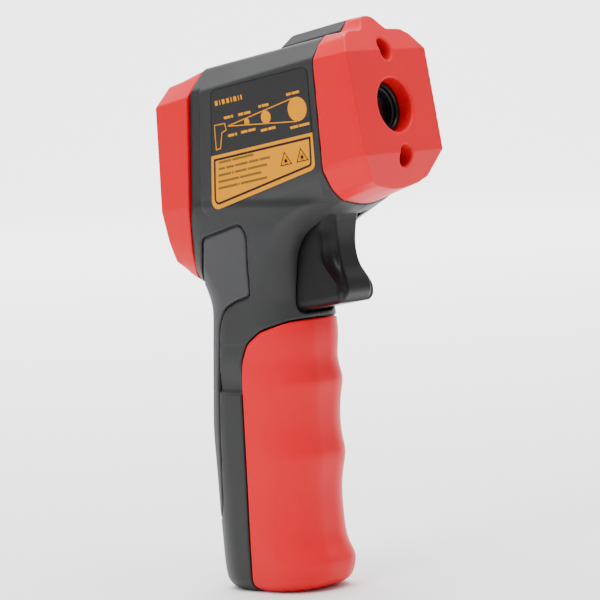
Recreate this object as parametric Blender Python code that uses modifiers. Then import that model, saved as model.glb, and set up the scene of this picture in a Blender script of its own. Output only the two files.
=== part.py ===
"""Pistol-grip infrared thermometer with two aiming lasers, as an assembly of separate pieces.

Axes: +X towards the nose, +Y to the device's left, +Z up. The grip stands upright on its flat base
and the optical axis rises towards the nose by TILT. The origin is below the middle of the overall
length, on the plane of the base. Dimensions along X are taken from the grip, CENTRE behind it.
Sizes below are in millimetres. The objects are in metres.
"""
import math

import bmesh
import bpy
from mathutils import Matrix, Vector

MM = 0.001
OBJECT_NAME = "infrared_thermometer"

# Driving dimensions, in millimetres
TILT = math.radians(9.0)      # rise of the optical axis above the horizontal
NOSE = (55.0, 162.0)          # x and z of the centre of the front face
CENTRE = 12.72                # x of the middle of the overall length
GAP = 0.3                     # clearance between neighbouring pieces
WALL = 2.2                    # moulded wall thickness

HEAD_HALF = 21.2              # half width of the head between the bezels
BEZEL_HALF = 21.7             # half width of the two red bezels
HEAD_TOP = 25.8
CREASE_TOP = 18.5             # height where the front face and the sides start to slope
CREASE_LOW = -15.8
FRONT_SEAM = (-15.4, 0.103)   # x at z = 0 and lean of the plane behind the front bezel
REAR_SEAM = (-73.0, 0.235)    # the same for the plane in front of the rear bezel
REAR_FACE = (-86.9, math.tan(TILT))

BORE = 9.1                    # sensor opening radius
LASER_BORE = 3.9
LASER_HEIGHTS = {"upper": 18.6, "lower": -16.7}

GRIP_HALF = 17.3              # half width of the grip
GRIP_FRONT = 20.0
GRIP_BACK = -22.6
GRIP_ROUND = 14.0             # corner radius of the grip's cross-section
DOOR_SEAM = -2.4              # x of the door's rear edges
DOOR_TOP = 93.0
HINGE = (1.6, 4.0)            # battery door hinge axis, x and z
HINGE_ROUND = 4.0
DOOR_TURN = math.radians(60)  # how far the door opens

PIVOT = (-31.0, -27.5)        # trigger axis along the optical frame's x and z
TRIGGER_HALF = 9.5            # half width of the trigger's side plates
PAD_HALF = 5.5                # half width of the finger pad
KEY_PITCH = 10.0
KEY_HEIGHT = 127.5
DISPLAY_HEIGHT = 151.0
SCREWS = {                    # name: (x, z, frame, distance from the centre plane to the head's seat)
    "front_upper": (-27.5, 17.5, "head", 16.6),
    "rear_upper": (-63.0, 17.5, "head", 16.6),
    "front_lower": (-22.6, -24.3, "head", 13.0),
    "neck_upper": (3.0, 128.6, "grip", 15.5),
    "neck_lower": (-4.0, 91.6, "grip", 13.5),
    "base": (-14.0, 13.0, "grip", 11.5),
}

COLOURS = {                   # material: (linear colour, roughness, metallic)
    "red_plastic": ((0.85, 0.035, 0.03), 0.38, 0.0),
    "black_plastic": ((0.055, 0.055, 0.058), 0.45, 0.0),
    "trigger_plastic": ((0.035, 0.035, 0.038), 0.35, 0.0),
    "grey_rubber": ((0.11, 0.11, 0.12), 0.6, 0.0),
    "dark_part": ((0.02, 0.02, 0.022), 0.4, 0.0),
    "clear_window": ((0.03, 0.035, 0.03), 0.08, 0.0),
    "lcd_glass": ((0.35, 0.42, 0.33), 0.2, 0.0),
    "circuit_board": ((0.02, 0.16, 0.06), 0.5, 0.0),
    "steel": ((0.6, 0.6, 0.6), 0.3, 1.0),
    "brass": ((0.7, 0.5, 0.2), 0.3, 1.0),
    "lens": ((0.02, 0.02, 0.025), 0.1, 0.0),
    "battery_jacket": ((0.05, 0.05, 0.2), 0.35, 0.0),
    "label_film": ((0.75, 0.4, 0.03), 0.4, 0.0),
    "red_wire": ((0.6, 0.02, 0.02), 0.5, 0.0),
    "black_wire": ((0.02, 0.02, 0.02), 0.5, 0.0),
}


# ---------------------------------------------------------------- scene and helpers
def clear_scene():
    for obj in list(bpy.data.objects):
        bpy.data.objects.remove(obj, do_unlink=True)


def collection(name):
    made = bpy.data.collections.new(name)
    bpy.context.scene.collection.children.link(made)
    return made


def material(name):
    colour, roughness, metallic = COLOURS[name]
    made = bpy.data.materials.get(name)
    if made is None:
        made = bpy.data.materials.new(name)
        made.use_nodes = True
        shader = made.node_tree.nodes["Principled BSDF"]
        shader.inputs["Base Color"].default_value = (*colour, 1.0)
        shader.inputs["Roughness"].default_value = roughness
        shader.inputs["Metallic"].default_value = metallic
        made.diffuse_color = (*colour, 1.0)
    return made


def empty(name, x, z, turn=0.0, parent=None):
    """An axis marker in the centre plane, turned about Y."""
    made = bpy.data.objects.new(name, None)
    PARTS.objects.link(made)
    made.parent = parent
    made.location = (x * MM, 0, z * MM)
    made.rotation_euler = (0, turn, 0)
    return made


def piece(name, bm, look=None, frame=None, origin=(0, 0, 0)):
    """Makes an object from a bmesh in millimetres. Without a look it is a cutter."""
    bmesh.ops.recalc_face_normals(bm, faces=bm.faces)
    bmesh.ops.translate(bm, verts=bm.verts, vec=-Vector(origin))
    bmesh.ops.scale(bm, verts=bm.verts, vec=(MM, MM, MM))
    mesh = bpy.data.meshes.new(name)
    bm.to_mesh(mesh)
    bm.free()
    made = bpy.data.objects.new(name, mesh)
    made.location = Vector(origin) * MM
    made.parent = frame or ROOT
    if look:
        mesh.materials.append(material(look))
        PARTS.objects.link(made)
    else:
        CUTTERS.objects.link(made)
        made.hide_render = True
        made.display_type = "WIRE"
    return made


def boolean(target, operation, *others):
    for other in others:
        modifier = target.modifiers.new(f"{operation.lower()}_{other.name}"[:60], "BOOLEAN")
        modifier.operation = operation
        modifier.object = other
    return target


def cut(target, *others):
    return boolean(target, "DIFFERENCE", *others)


def join(target, *others):
    return boolean(target, "UNION", *others)


def keep(target, *others):
    return boolean(target, "INTERSECT", *others)


def bevel(target, width, segments=2):
    modifier = target.modifiers.new("bevel", "BEVEL")
    modifier.width = width * MM
    modifier.segments = segments
    modifier.limit_method = "ANGLE"
    return target


def block(x0, x1, y0, y1, z0, z1):
    bm = bmesh.new()
    bmesh.ops.create_cube(bm, size=1.0)
    bmesh.ops.scale(bm, verts=bm.verts, vec=(x1 - x0, y1 - y0, z1 - z0))
    bmesh.ops.translate(bm, verts=bm.verts, vec=((x0 + x1) / 2, (y0 + y1) / 2, (z0 + z1) / 2))
    return bm


def rod(axis, radius, start, end, across, sides=24):
    """A cylinder along X, Y or Z from start to end. across is its place on the other two axes."""
    bm = bmesh.new()
    bmesh.ops.create_cone(bm, cap_ends=True, segments=sides, radius1=radius, radius2=radius,
                          depth=end - start)
    middle = (start + end) / 2
    a, b = across
    if axis == "X":
        matrix = Matrix.Translation((middle, a, b)) @ Matrix.Rotation(math.pi / 2, 4, "Y")
    elif axis == "Y":
        matrix = Matrix.Translation((a, middle, b)) @ Matrix.Rotation(math.pi / 2, 4, "X")
    else:
        matrix = Matrix.Translation((a, b, middle))
    bmesh.ops.transform(bm, matrix=matrix, verts=bm.verts)
    return bm


def prism(outline, y0, y1):
    """An outline of (x, z) points, extruded across the device from y0 to y1."""
    bm = bmesh.new()
    face = bm.faces.new([bm.verts.new((x, y0, z)) for x, z in outline])
    made = bmesh.ops.extrude_face_region(bm, geom=[face])
    moved = [v for v in made["geom"] if isinstance(v, bmesh.types.BMVert)]
    bmesh.ops.translate(bm, verts=moved, vec=(0, y1 - y0, 0))
    return bm


def loft(rings, caps=None):
    """A closed solid through rings with equal numbers of points. caps splits the first ring into facets."""
    bm = bmesh.new()
    rows = [[bm.verts.new(p) for p in ring] for ring in rings]
    count = len(rows[0])
    for low, high in zip(rows, rows[1:]):
        for i in range(count):
            j = (i + 1) % count
            bm.faces.new((low[i], low[j], high[j], high[i]))
    for group in caps or [range(count)]:
        bm.faces.new([rows[0][i] for i in group])
    bm.faces.new(rows[-1])
    bm.normal_update()
    bent = [f for f in bm.faces if max(abs((v.co - f.verts[0].co).dot(f.normal)) for v in f.verts) > 1e-4]
    bmesh.ops.triangulate(bm, faces=bent)
    return bm


def arc(cx, cz, radius, start, end, steps):
    """Points on an arc in the centre plane, angles in degrees from +X towards +Z."""
    angles = [math.radians(start + (end - start) * i / steps) for i in range(steps + 1)]
    return [(cx + radius * math.cos(a), cz + radius * math.sin(a)) for a in angles]


def plane_x(plane, z):
    return plane[0] + plane[1] * z


# ---------------------------------------------------------------- outer forms
def mirrored(half):
    """A closed ring of (y, z) points from the right half of a section."""
    return half + [(-y, z) for y, z in reversed(half)]


def front_x(z):
    """The nose: a flat face between the creases, with facets that slope back above and below."""
    if z > CREASE_TOP:
        return -0.33 * (z - CREASE_TOP)
    if z < CREASE_LOW:
        return -0.51 * (CREASE_LOW - z)
    return 0.0


def front_bezel_half(inset, rear):
    """Half section of the front bezel with the sighting bump on top. It deepens towards the seam."""
    low = -29.8 if rear else -27.6
    return [(2.5, 30.6 - inset), (7.4 - inset * 0.6, HEAD_TOP - 0.2 - inset),
            (13.8 - inset * 0.5, HEAD_TOP - 0.2 - inset), (BEZEL_HALF - inset, CREASE_TOP - inset * 0.5),
            (BEZEL_HALF - inset, CREASE_LOW + inset * 0.3), (16.8 - inset * 0.7, low + 2.8 + inset),
            (10.0, low + inset)]


def head_ring(half, x_of_z):
    return [Vector((x_of_z(z), y, z)) for y, z in mirrored(half)]


def head_half(inset, rear):
    low = -43.8 if rear else -30.2
    lower_half = 15.0 if rear else 17.0
    return [(13.8 - inset * 0.5, HEAD_TOP - inset), (HEAD_HALF - inset, 18.3 - inset * 0.5),
            (HEAD_HALF - inset, -19.0 + inset * 0.3), (lower_half - inset, low + 3.4 + inset),
            (9.0, low + inset)]


def rear_bezel_half(inset, rear):
    if rear:
        return [(13.8 - inset * 0.5, 22.5 - inset), (BEZEL_HALF - 0.2 - inset, 15.8 - inset * 0.5),
                (BEZEL_HALF - 0.2 - inset, -18.5 + inset * 0.3), (14.5 - inset, -33.0 + inset)]
    return [(13.8 - inset * 0.5, HEAD_TOP - inset), (BEZEL_HALF - inset, 18.2 - inset * 0.5),
            (BEZEL_HALF - inset, -18.8 + inset * 0.3), (12.5 - inset, -43.5 + inset)]


def rounded_ring(back, front, half, radius, z, steps=5):
    """A horizontal section of the grip: a rectangle with round corners."""
    ring = []
    corners = [(front - radius, half - radius, 0), (back + radius, half - radius, 90),
               (back + radius, radius - half, 180), (front - radius, radius - half, 270)]
    for cx, cy, start in corners:
        for i in range(steps + 1):
            a = math.radians(start + 90 * i / steps)
            ring.append(Vector((cx + radius * math.cos(a), cy + radius * math.sin(a), z)))
    return ring


GRIP_SECTIONS = [             # z, back x, front x, half width, corner radius
    (0.0, GRIP_BACK + 5.0, GRIP_FRONT - 3.0, 13.0, 10.0),
    (2.2, GRIP_BACK + 2.2, GRIP_FRONT - 0.6, 16.0, 12.5),
    (6.0, GRIP_BACK + 1.0, GRIP_FRONT + 1.0, 17.0, 13.5),
    (11.0, GRIP_BACK + 0.6, GRIP_FRONT + 2.0, GRIP_HALF, GRIP_ROUND),
    (17.0, GRIP_BACK, GRIP_FRONT, GRIP_HALF, GRIP_ROUND),
    (70.0, GRIP_BACK, GRIP_FRONT, GRIP_HALF, GRIP_ROUND),
    (97.0, GRIP_BACK + 1.2, GRIP_FRONT, GRIP_HALF, GRIP_ROUND),
    (104.5, GRIP_BACK + 2.2, GRIP_FRONT + 0.2, 17.5, GRIP_ROUND),
    (112.0, GRIP_BACK + 3.6, GRIP_FRONT + 2.0, 18.2, 13.0),
    (119.0, GRIP_BACK + 4.2, GRIP_FRONT + 7.5, 19.4, 12.0),
    (125.0, GRIP_BACK + 4.6, GRIP_FRONT + 14.5, 20.4, 11.0),
    (130.0, GRIP_BACK + 5.0, GRIP_FRONT + 19.0, 20.6, 11.0),
]


def grip_form(name, inset=0.0):
    rings = [rounded_ring(back + inset, front - inset, half - inset, radius - inset, z)
             for z, back, front, half, radius in GRIP_SECTIONS]
    return piece(name, loft(rings))


def head_form(name, inset=0.0, overrun=0.0):
    front = head_ring(head_half(inset, False), lambda z: plane_x(FRONT_SEAM, z) - GAP + overrun)
    rear = head_ring(head_half(inset, True), lambda z: plane_x(REAR_SEAM, z) + GAP - overrun)
    return piece(name, loft([front, rear]), frame=HEAD)


def door_outline(grow=0.0):
    """The battery door seen from the side. Its lower rear corner is round about the hinge axis."""
    x0 = DOOR_SEAM - grow
    outline = arc(HINGE[0], HINGE[1], HINGE_ROUND + grow, 270, 180, 5)
    outline += arc(x0 + 11.0, 79.5 + grow, 11.0, 180, 108, 5)
    return outline + [(40.0, DOOR_TOP + 2.5 + grow), (40.0, -4.0), (HINGE[0], -4.0)]


def door_swing():
    """What the door's flat bottom needs behind the hinge when the door is fully open."""
    radius = HINGE_ROUND + GAP
    cos, sin = math.cos(DOOR_TURN), math.sin(DOOR_TURN)
    corners = [(0.0, -radius), (25.0, -radius), (25.0, 0.0), (0.0, 0.0)]
    return [(HINGE[0] + x * cos + z * sin, HINGE[1] - x * sin + z * cos) for x, z in corners]


def inlay_outline(grow=0.0):
    """The soft inlay seen from the side: a cheek panel that runs into a strip down the back."""
    g = grow
    return [(-12.6 - g, 120.4 + g), (2.4, 124.0 + g), (5.0 + g, 121.8), (5.0 + g, 110.0),
            (5.6 + g, 102.0), (4.0 + g, 100.0 - g), (-7.6, 96.0 - g), (-11.4 + g, 91.5 - g),
            (-13.6 + g, 81.0), (-14.4 + g, 62.0), (-14.4 + g, 31.0), (-16.0 + g, 26.0 - g),
            (-19.0, 22.6 - g), (-40.0, 21.0 - g), (-40.0, 103.0 + g), (-18.6 - g, 103.0 + g),
            (-15.8 - g, 112.3)]


# ---------------------------------------------------------------- housing, door and inlay
def screw_point(name):
    """World-frame (x, z) of a screw axis."""
    x, z, frame, _ = SCREWS[name]
    if frame == "grip":
        return x, z
    return (NOSE[0] + x * math.cos(TILT) - z * math.sin(TILT),
            NOSE[1] + x * math.sin(TILT) + z * math.cos(TILT))


def build_outer():
    """The whole dark outer form, before hollowing and splitting."""
    outer = head_form("housing_outer", overrun=3.0)
    ridge = piece("ridge_form", loft([
        [Vector((plane_x(FRONT_SEAM, z) + 2, y, z)) for y, z in mirrored([(2.5, 30.6), (7.4, HEAD_TOP - 1)])],
        [Vector((x, y, z)) for (y, z), x in zip(mirrored([(2.5, 29.6), (7.4, HEAD_TOP - 1)]),
                                                (-36.0, -41.0, -41.0, -36.0))]]), frame=HEAD)
    return join(outer, grip_form("grip_outer"), ridge)


def build_cavity():
    """The hollow inside: head, neck, battery bay, rear channel and lead duct, less the posts."""
    cavity = head_form("head_cavity", WALL, 5.0)
    for name, inset, zone in (("neck", 3.4, block(-40, 60, -40, 40, DOOR_TOP + 1.6, 127.3)),
                              ("bay", 2.4, block(-7.2, 60, -40, 40, 3.0, 88.5)),
                              ("channel", 4.2, block(-40, -9.2, -40, 40, 3.0, 88.1))):
        join(cavity, keep(grip_form(f"{name}_cavity", inset), piece(f"{name}_zone", zone)))
    join(cavity, piece("lead_duct", block(2.0, 7.5, -1.0, 11.6, 80, 100)))
    pin_post = piece("pin_post", rod("Y", 3.6, -40, 40, PIVOT, 20), frame=HEAD)
    posts = [piece(f"post_{n}", rod("Y", 3.3, -40, 40, screw_point(n), 16)) for n in SCREWS]
    return cut(cavity, pin_post, *posts)


def build_housing():
    outer = build_outer()
    cavity = build_cavity()
    slot = piece("trigger_slot", prism([(-26.0, -38.0), (-26.0, -22.0), (-51.5, -22.0), (-51.5, -61.8),
                                        (-15.0, -61.8), (-15.0, -38.0)],
                                       -TRIGGER_HALF - GAP, TRIGGER_HALF + GAP), frame=HEAD)
    door_space = piece("door_space", prism(door_outline(GAP), -40, 40))
    swing_space = piece("swing_space", prism(door_swing(), -40, 40))
    inlay_space = piece("inlay_space", prism(inlay_outline(GAP), -40, 40))
    cut(inlay_space, grip_form("grip_under_inlay", 1.8))
    behind_seam = piece("behind_seam", prism([(plane_x(REAR_SEAM, 40) + GAP, 40), (-140, 40), (-140, -80),
                                              (plane_x(REAR_SEAM, -44.5) + GAP, -44.5)], -40, 40), frame=HEAD)
    ahead_of_seam = piece("ahead_of_seam", prism([(plane_x(FRONT_SEAM, 40) - GAP, 40), (40, 40), (40, -34),
                                                  (plane_x(FRONT_SEAM, -34) - GAP, -34)], -40, 40), frame=HEAD)
    cut(outer, behind_seam, ahead_of_seam)
    pin_bore = piece("trigger_pin_bore", rod("Y", 1.58, -13.3, 13.3, PIVOT, 20), frame=HEAD)
    finger_cuts = [piece(f"finger_cut_{side}", finger_cut(sign)) for side, sign in (("right", -1), ("left", 1))]
    lugs = [piece(f"hinge_arm_{side}", hinge_arm(sign)) for side, sign in (("right", -1), ("left", 1))]
    hinge_bore = piece("hinge_bore", rod("Y", 1.08, -13, 13, HINGE, 16))
    halves = []
    for side, y0, y1 in (("right", -60, -0.1), ("left", 0.1, 60)):
        half = piece(f"housing_{side}", block(-60, 80, y0, y1, -10, 220), "black_plastic")
        keep(half, outer)
        cut(half, cavity, slot, door_space, swing_space, inlay_space, *finger_cuts, pin_bore)
        join(half, lugs[0] if side == "right" else lugs[1])
        cut(half, hinge_bore)
        halves.append(half)
    for name in SCREWS:
        x, z = screw_point(name)
        seat = SCREWS[name][3]
        clearance = piece(f"clearance_{name}", rod("Y", 1.6, -0.5, seat + 2, (x, z), 16))
        counterbore = piece(f"counterbore_{name}", rod("Y", 3.0, seat, 40, (x, z), 16))
        cut(halves[1], join(counterbore, clearance))
        cut(halves[0], piece(f"pilot_{name}", rod("Y", 1.6, -7.5, 0.5, (x, z), 16)))
    return halves


def finger_cut(sign):
    """A scoop beside the door's rear edge, deepest at its lower ledge."""
    ring = [(-12.0, 80.0, 17.5), (-12.0, 68.5, 16.3), (-12.0, 68.5, 19.0), (-12.0, 80.0, 19.0)]
    return loft([[Vector((x + dx, sign * y, z)) for x, z, y in ring] for dx in (0.0, 14.0)])


def hinge_arm(sign):
    """An arm from the bay wall to the door's hinge axis."""
    x, z = HINGE
    outline = arc(x, z, 2.5, -90, 90, 6) + [(-9.0, z + 2.5), (-9.0, z - 2.5)]
    ys = sorted((sign * 8.6, sign * 11.6))
    return prism(outline, *ys)


def build_door():
    """The grip's red front, hinged at the bottom, with knuckles, rear notches and a latch tongue."""
    door = piece("battery_door", prism(door_outline(), -40, 40), "red_plastic", DOOR_AXIS)
    x, z = HINGE
    door.matrix_parent_inverse = Matrix.Translation((-x * MM, 0, -z * MM))
    keep(door, grip_form("door_outer"))
    hollow = grip_form("door_hollow", WALL)
    keep(hollow, piece("door_hollow_zone", block(-20, 60, -40, 40, 3.0, 90.5)))
    cut(door, hollow)
    for sign, side in ((-1, "right"), (1, "left")):
        ys = sorted((sign * 3.0, sign * 8.0))
        knuckle = piece(f"knuckle_{side}", prism(arc(x, z, 2.6, 0, 180, 8) + [(x - 2.6, 1.2), (x + 2.6, 1.2)], *ys))
        join(door, knuckle)
        ys = sorted((sign * 8.3, sign * 11.9))
        cut(door, piece(f"door_notch_{side}", block(-6, 4.6, *ys, -3, 8)))
    cut(door, piece("door_pin_bore", rod("Y", 1.08, -13, 13, HINGE, 16)))
    return door


def build_inlay():
    inlay = piece("grip_inlay", prism(inlay_outline(), -40, 40), "grey_rubber")
    keep(inlay, grip_form("inlay_outer"))
    return cut(inlay, grip_form("inlay_inner", 1.5))


# ---------------------------------------------------------------- bezels, display and keys
def build_front_bezel():
    front = head_ring(front_bezel_half(0, False), front_x)
    rear = head_ring(front_bezel_half(0, True), lambda z: plane_x(FRONT_SEAM, z))
    facets = [[3, 2, 1, 0, 13, 12, 11, 10], [3, 4, 9, 10], [4, 5, 6, 7, 8, 9]]
    bezel = piece("front_bezel", loft([front, rear], facets), "red_plastic", HEAD)
    inside = head_ring(front_bezel_half(WALL, False), lambda z: front_x(z) - 2.6)
    beyond = head_ring(front_bezel_half(WALL, True), lambda z: plane_x(FRONT_SEAM, z) - 5)
    hollow = piece("bezel_hollow", loft([inside, beyond]), frame=HEAD)
    cut(hollow, piece("sensor_tunnel", rod("X", BORE + 1.6, -14.0, 3.0, (0, 0), 32), frame=HEAD))
    for name, z in LASER_HEIGHTS.items():
        cut(hollow, piece(f"laser_tunnel_{name}", rod("X", LASER_BORE + 1.4, -7.5, 3.0, (0, z), 20), frame=HEAD))
    cut(bezel, hollow)
    cut(bezel, piece("sensor_bore", rod("X", BORE, -20, 5, (0, 0), 32), frame=HEAD))
    for name, z in LASER_HEIGHTS.items():
        cut(bezel, piece(f"laser_bore_{name}", rod("X", LASER_BORE, -20, 5, (0, z), 20), frame=HEAD))
    return bezel


def rear_plane_x():
    """World x of the rear face, which is vertical when the grip stands upright."""
    return NOSE[0] + REAR_FACE[0] * math.cos(TILT)


def build_rear_bezel():
    rear = head_ring(rear_bezel_half(0, True), lambda z: plane_x(REAR_FACE, z))
    front = head_ring(rear_bezel_half(0, False), lambda z: plane_x(REAR_SEAM, z))
    bezel = piece("rear_bezel", loft([rear, front]), "red_plastic", HEAD)
    inside = head_ring(rear_bezel_half(WALL, True), lambda z: plane_x(REAR_FACE, z) + 2.5)
    beyond = head_ring(rear_bezel_half(WALL, False), lambda z: plane_x(REAR_SEAM, z) + 4)
    cut(bezel, piece("rear_hollow", loft([inside, beyond]), frame=HEAD))
    x = rear_plane_x()
    d = DISPLAY_HEIGHT
    cut(bezel, piece("display_opening", block(x - 5, x + 5, -15, 15, d - 11.5, d + 11.5)))
    for index in (-1, 0, 1):
        y = index * KEY_PITCH
        cut(bezel, piece(f"key_opening_{index + 2}",
                         block(x - 5, x + 5, y - 4.2, y + 4.2, KEY_HEIGHT - 3.6, KEY_HEIGHT + 3.6)))
    return bezel


def build_display():
    x = rear_plane_x()
    d = DISPLAY_HEIGHT
    bevel(piece("display_window", block(x + 0.4, x + 2.2, -14.7, 14.7, d - 11.2, d + 11.2), "clear_window"), 0.4, 1)
    piece("lcd_module", block(x + 2.9, x + 6.4, -16.0, 16.0, d - 14.0, d + 13.0), "lcd_glass")
    piece("display_board", block(x + 6.9, x + 8.5, -14.0, 14.0, 123.5, d + 13.0), "circuit_board")
    piece("keypad_mat", block(x + 5.2, x + 6.4, -13.6, 13.6, KEY_HEIGHT - 4.6, KEY_HEIGHT + 5.5), "grey_rubber")
    for index, name in ((-1, "right"), (0, "centre"), (1, "left")):
        y = index * KEY_PITCH
        key = piece(f"key_{name}", block(x - 1.2, x + 3.6, y - 3.9, y + 3.9, KEY_HEIGHT - 3.3, KEY_HEIGHT + 3.3),
                    "grey_rubber", origin=(x - 1.2, y, KEY_HEIGHT))
        bevel(key, 0.8)
        join(key, piece(f"key_flange_{name}",
                        block(x + 2.9, x + 3.9, y - 4.6, y + 4.6, KEY_HEIGHT - 4.0, KEY_HEIGHT + 4.0)))


# ---------------------------------------------------------------- sensor, lasers and boards
def tube(name, look, outer, inner, start, end, z=0.0, sides=32):
    made = piece(name, rod("X", outer, start, end, (0, z), sides), look, HEAD)
    return cut(made, piece(f"{name}_bore", rod("X", inner, start - 3, end + 3, (0, z), sides), frame=HEAD))


def build_optics():
    tube("lens_ring", "dark_part", BORE - GAP, 7.0, -8.3, -6.3)
    bevel(piece("ir_lens", rod("X", 6.8, -10.6, -8.9, (0, 0), 32), "lens", HEAD), 0.5)
    tube("sensor_barrel", "dark_part", BORE - GAP, 7.1, -36.0, -8.6)
    piece("thermopile", rod("X", 4.1, -36.2, -31.0, (0, 0), 24), "steel", HEAD)
    piece("sensor_board", rod("X", 8.6, -38.1, -36.5, (0, 0), 24), "circuit_board", HEAD)
    carrier = piece("laser_carrier", block(-20.0, -16.5, -11.5, 11.5, -21.0, 22.6), "dark_part", HEAD)
    cut(carrier, piece("carrier_bore", rod("X", BORE, -30, -10, (0, 0), 32), frame=HEAD))
    for name, z in LASER_HEIGHTS.items():
        bevel(piece(f"laser_{name}", rod("X", 3.1, -21.5, -8.0, (0, z), 20), "brass", HEAD), 0.4, 1)
        cut(carrier, piece(f"carrier_laser_bore_{name}", rod("X", 3.4, -30, -10, (0, z), 20), frame=HEAD))


def build_boards():
    piece("main_board", block(-68.0, -40.0, 11.2, 12.8, -16.0, 13.0), "circuit_board", HEAD)
    piece("processor", block(-60.0, -50.0, 9.6, 10.9, -8.0, 2.0), "dark_part", HEAD)
    piece("buzzer", rod("Y", 5.5, 7.0, 10.9, (-43.6, 6.0), 24), "dark_part", HEAD)


# ---------------------------------------------------------------- trigger and switch
def build_trigger():
    px, pz = PIVOT
    plates = [(px + 3.6, pz)] + arc(px, pz, 3.6, 0, 140, 6) + [
        (-44.0, -30.5), (-50.6, -38.0), (-50.6, -57.5), (-46.8, -61.2), (-28.9, -61.2), (-28.9, -55.1),
        (-31.2, -51.7), (-33.4, -47.8), (-34.1, -44.1), (-33.6, -39.5), (-32.3, -34.5)]
    pad = [(-28.0, -31.0), (-29.4, -37.0), (-29.7, -43.5), (-29.0, -49.0), (-27.0, -53.5), (-25.0, -56.0),
           (-24.6, -58.5), (-25.8, -60.6), (-27.8, -61.2), (-37.0, -61.2), (-37.0, -31.0)]
    origin = (px, 0, pz)
    trigger = piece("trigger", prism(plates[1:], -TRIGGER_HALF, TRIGGER_HALF), "trigger_plastic", HEAD, origin)
    bevel(trigger, 0.7)
    finger = piece("finger_pad", prism(pad, -PAD_HALF, PAD_HALF), frame=HEAD)
    bevel(finger, 0.7)
    join(trigger, finger)
    cut(trigger, piece("trigger_bore", rod("Y", 1.58, -20, 20, PIVOT, 20), frame=HEAD))
    cut(trigger, piece("spring_pocket", rod("Y", 5.4, 5.2, 20, PIVOT, 24), frame=HEAD))
    piece("trigger_pin", rod("Y", 1.5, -13, 13, PIVOT, 20), "steel", HEAD)


def build_trigger_spring():
    """A torsion spring around the trigger pin, with one leg down the trigger and one against the housing."""
    turns, per_turn, radius, wire, height = 3.0, 12, 3.4, 0.3, 2.5
    px, pz = PIVOT
    points = [(px + 2.2, 8.6, pz - 4.0)]
    count = int(turns * per_turn)
    for i in range(count + 1):
        a = 2 * math.pi * i / per_turn - 0.6
        points.append((px + radius * math.cos(a), 8.4 - height * i / count, pz + radius * math.sin(a)))
    curve = bpy.data.curves.new("trigger_spring", "CURVE")
    curve.dimensions = "3D"
    spline = curve.splines.new("POLY")
    spline.points.add(len(points) - 1)
    for point, place in zip(spline.points, points):
        point.co = (*(Vector(place) * MM), 1)
    curve.bevel_depth = wire * MM
    curve.bevel_resolution = 1
    curve.use_fill_caps = True
    curve.materials.append(material("steel"))
    made = bpy.data.objects.new("trigger_spring", curve)
    PARTS.objects.link(made)
    made.parent = HEAD


def build_switch():
    body = piece("trigger_switch", block(-61.0, -55.0, -3.5, 3.5, -50.0, -43.0), "dark_part", HEAD)
    cut(body, piece("plunger_bore", rod("X", 1.6, -59.5, -50, (0, -46.5), 16), frame=HEAD))
    piece("switch_plunger", rod("X", 1.5, -56.8, -51.0, (0, -46.5), 16), "red_plastic", HEAD, (-51.0, 0, -46.5))
    piece("switch_board", block(-62.9, -61.3, -6.5, 6.5, -54.0, -39.0), "circuit_board", HEAD)


# ---------------------------------------------------------------- battery, leads, labels and fasteners
def build_battery():
    battery = piece("battery", block(-6.7, 10.8, -13.25, 13.25, 8.0, 54.4), "battery_jacket")
    bevel(battery, 1.8)
    for side, sign, radius in (("plus", -1, 2.9), ("minus", 1, 4.0)):
        join(battery, piece(f"terminal_{side}", rod("Z", radius, 54.0, 56.8, (2.05, sign * 6.35), 16)))
    snap = piece("battery_snap", block(-3.5, 7.6, -12.6, 12.6, 55.0, 59.6), "dark_part")
    bevel(snap, 1.0)
    for side, sign, radius in (("plus", -1, 3.2), ("minus", 1, 4.3)):
        cut(snap, piece(f"socket_{side}", rod("Z", radius, 50.0, 57.1, (2.05, sign * 6.35), 16)))


def build_leads():
    """Two wires from the snap, through the duct above the battery bay, to the main board."""
    for name, start, y in (("red", -5.0, 8.2), ("black", 6.0, 10.2)):
        near, far = (start * 3 + y) / 4, (start + y * 3) / 4
        route = [(2.0, start, 60.2), (2.0, start, 64.0), (2.8, near, 69.0), (4.0, far, 75.0), (4.7, y, 82.0),
                 (4.7, y, 90.0), (4.6, y, 98.0), (3.6, y, 105.0), (1.0, y, 112.0), (-2.2, y, 118.5),
                 (-3.6, y, 125.5), (-3.0, y, 131.5), (-2.0, y, 136.2)]
        curve = bpy.data.curves.new(f"battery_lead_{name}", "CURVE")
        curve.dimensions = "3D"
        spline = curve.splines.new("POLY")
        spline.points.add(len(route) - 1)
        for point, place in zip(spline.points, route):
            point.co = (*(Vector(place) * MM), 1)
        curve.bevel_depth = 0.7 * MM
        curve.bevel_resolution = 1
        curve.use_fill_caps = True
        curve.materials.append(material(f"{name}_wire"))
        made = bpy.data.objects.new(f"battery_lead_{name}", curve)
        made.parent = ROOT
        PARTS.objects.link(made)


def build_labels():
    outline = [(-56.9, 17.0), (-17.9, 17.0), (-16.6, 15.4), (-19.9, -15.2), (-21.6, -16.8),
               (-64.2, -22.4), (-66.2, -20.4), (-59.2, 15.4)]
    for side, sign in (("right", -1), ("left", 1)):
        ys = sorted((sign * (HEAD_HALF + GAP), sign * (HEAD_HALF + GAP + 0.4)))
        piece(f"label_{side}", prism(outline, *ys), "label_film", HEAD)


def build_fasteners():
    for name in SCREWS:
        x, z = screw_point(name)
        seat = SCREWS[name][3] + GAP
        screw = piece(f"screw_{name}", rod("Y", 1.3, -6.8, seat + 0.5, (x, z), 12), "steel")
        join(screw, piece(f"screw_head_{name}", rod("Y", 2.6, seat, seat + 1.8, (x, z), 16)))
    piece("door_hinge_pin", rod("Y", 1.0, -11.4, 11.4, HINGE, 16), "steel")


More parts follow.
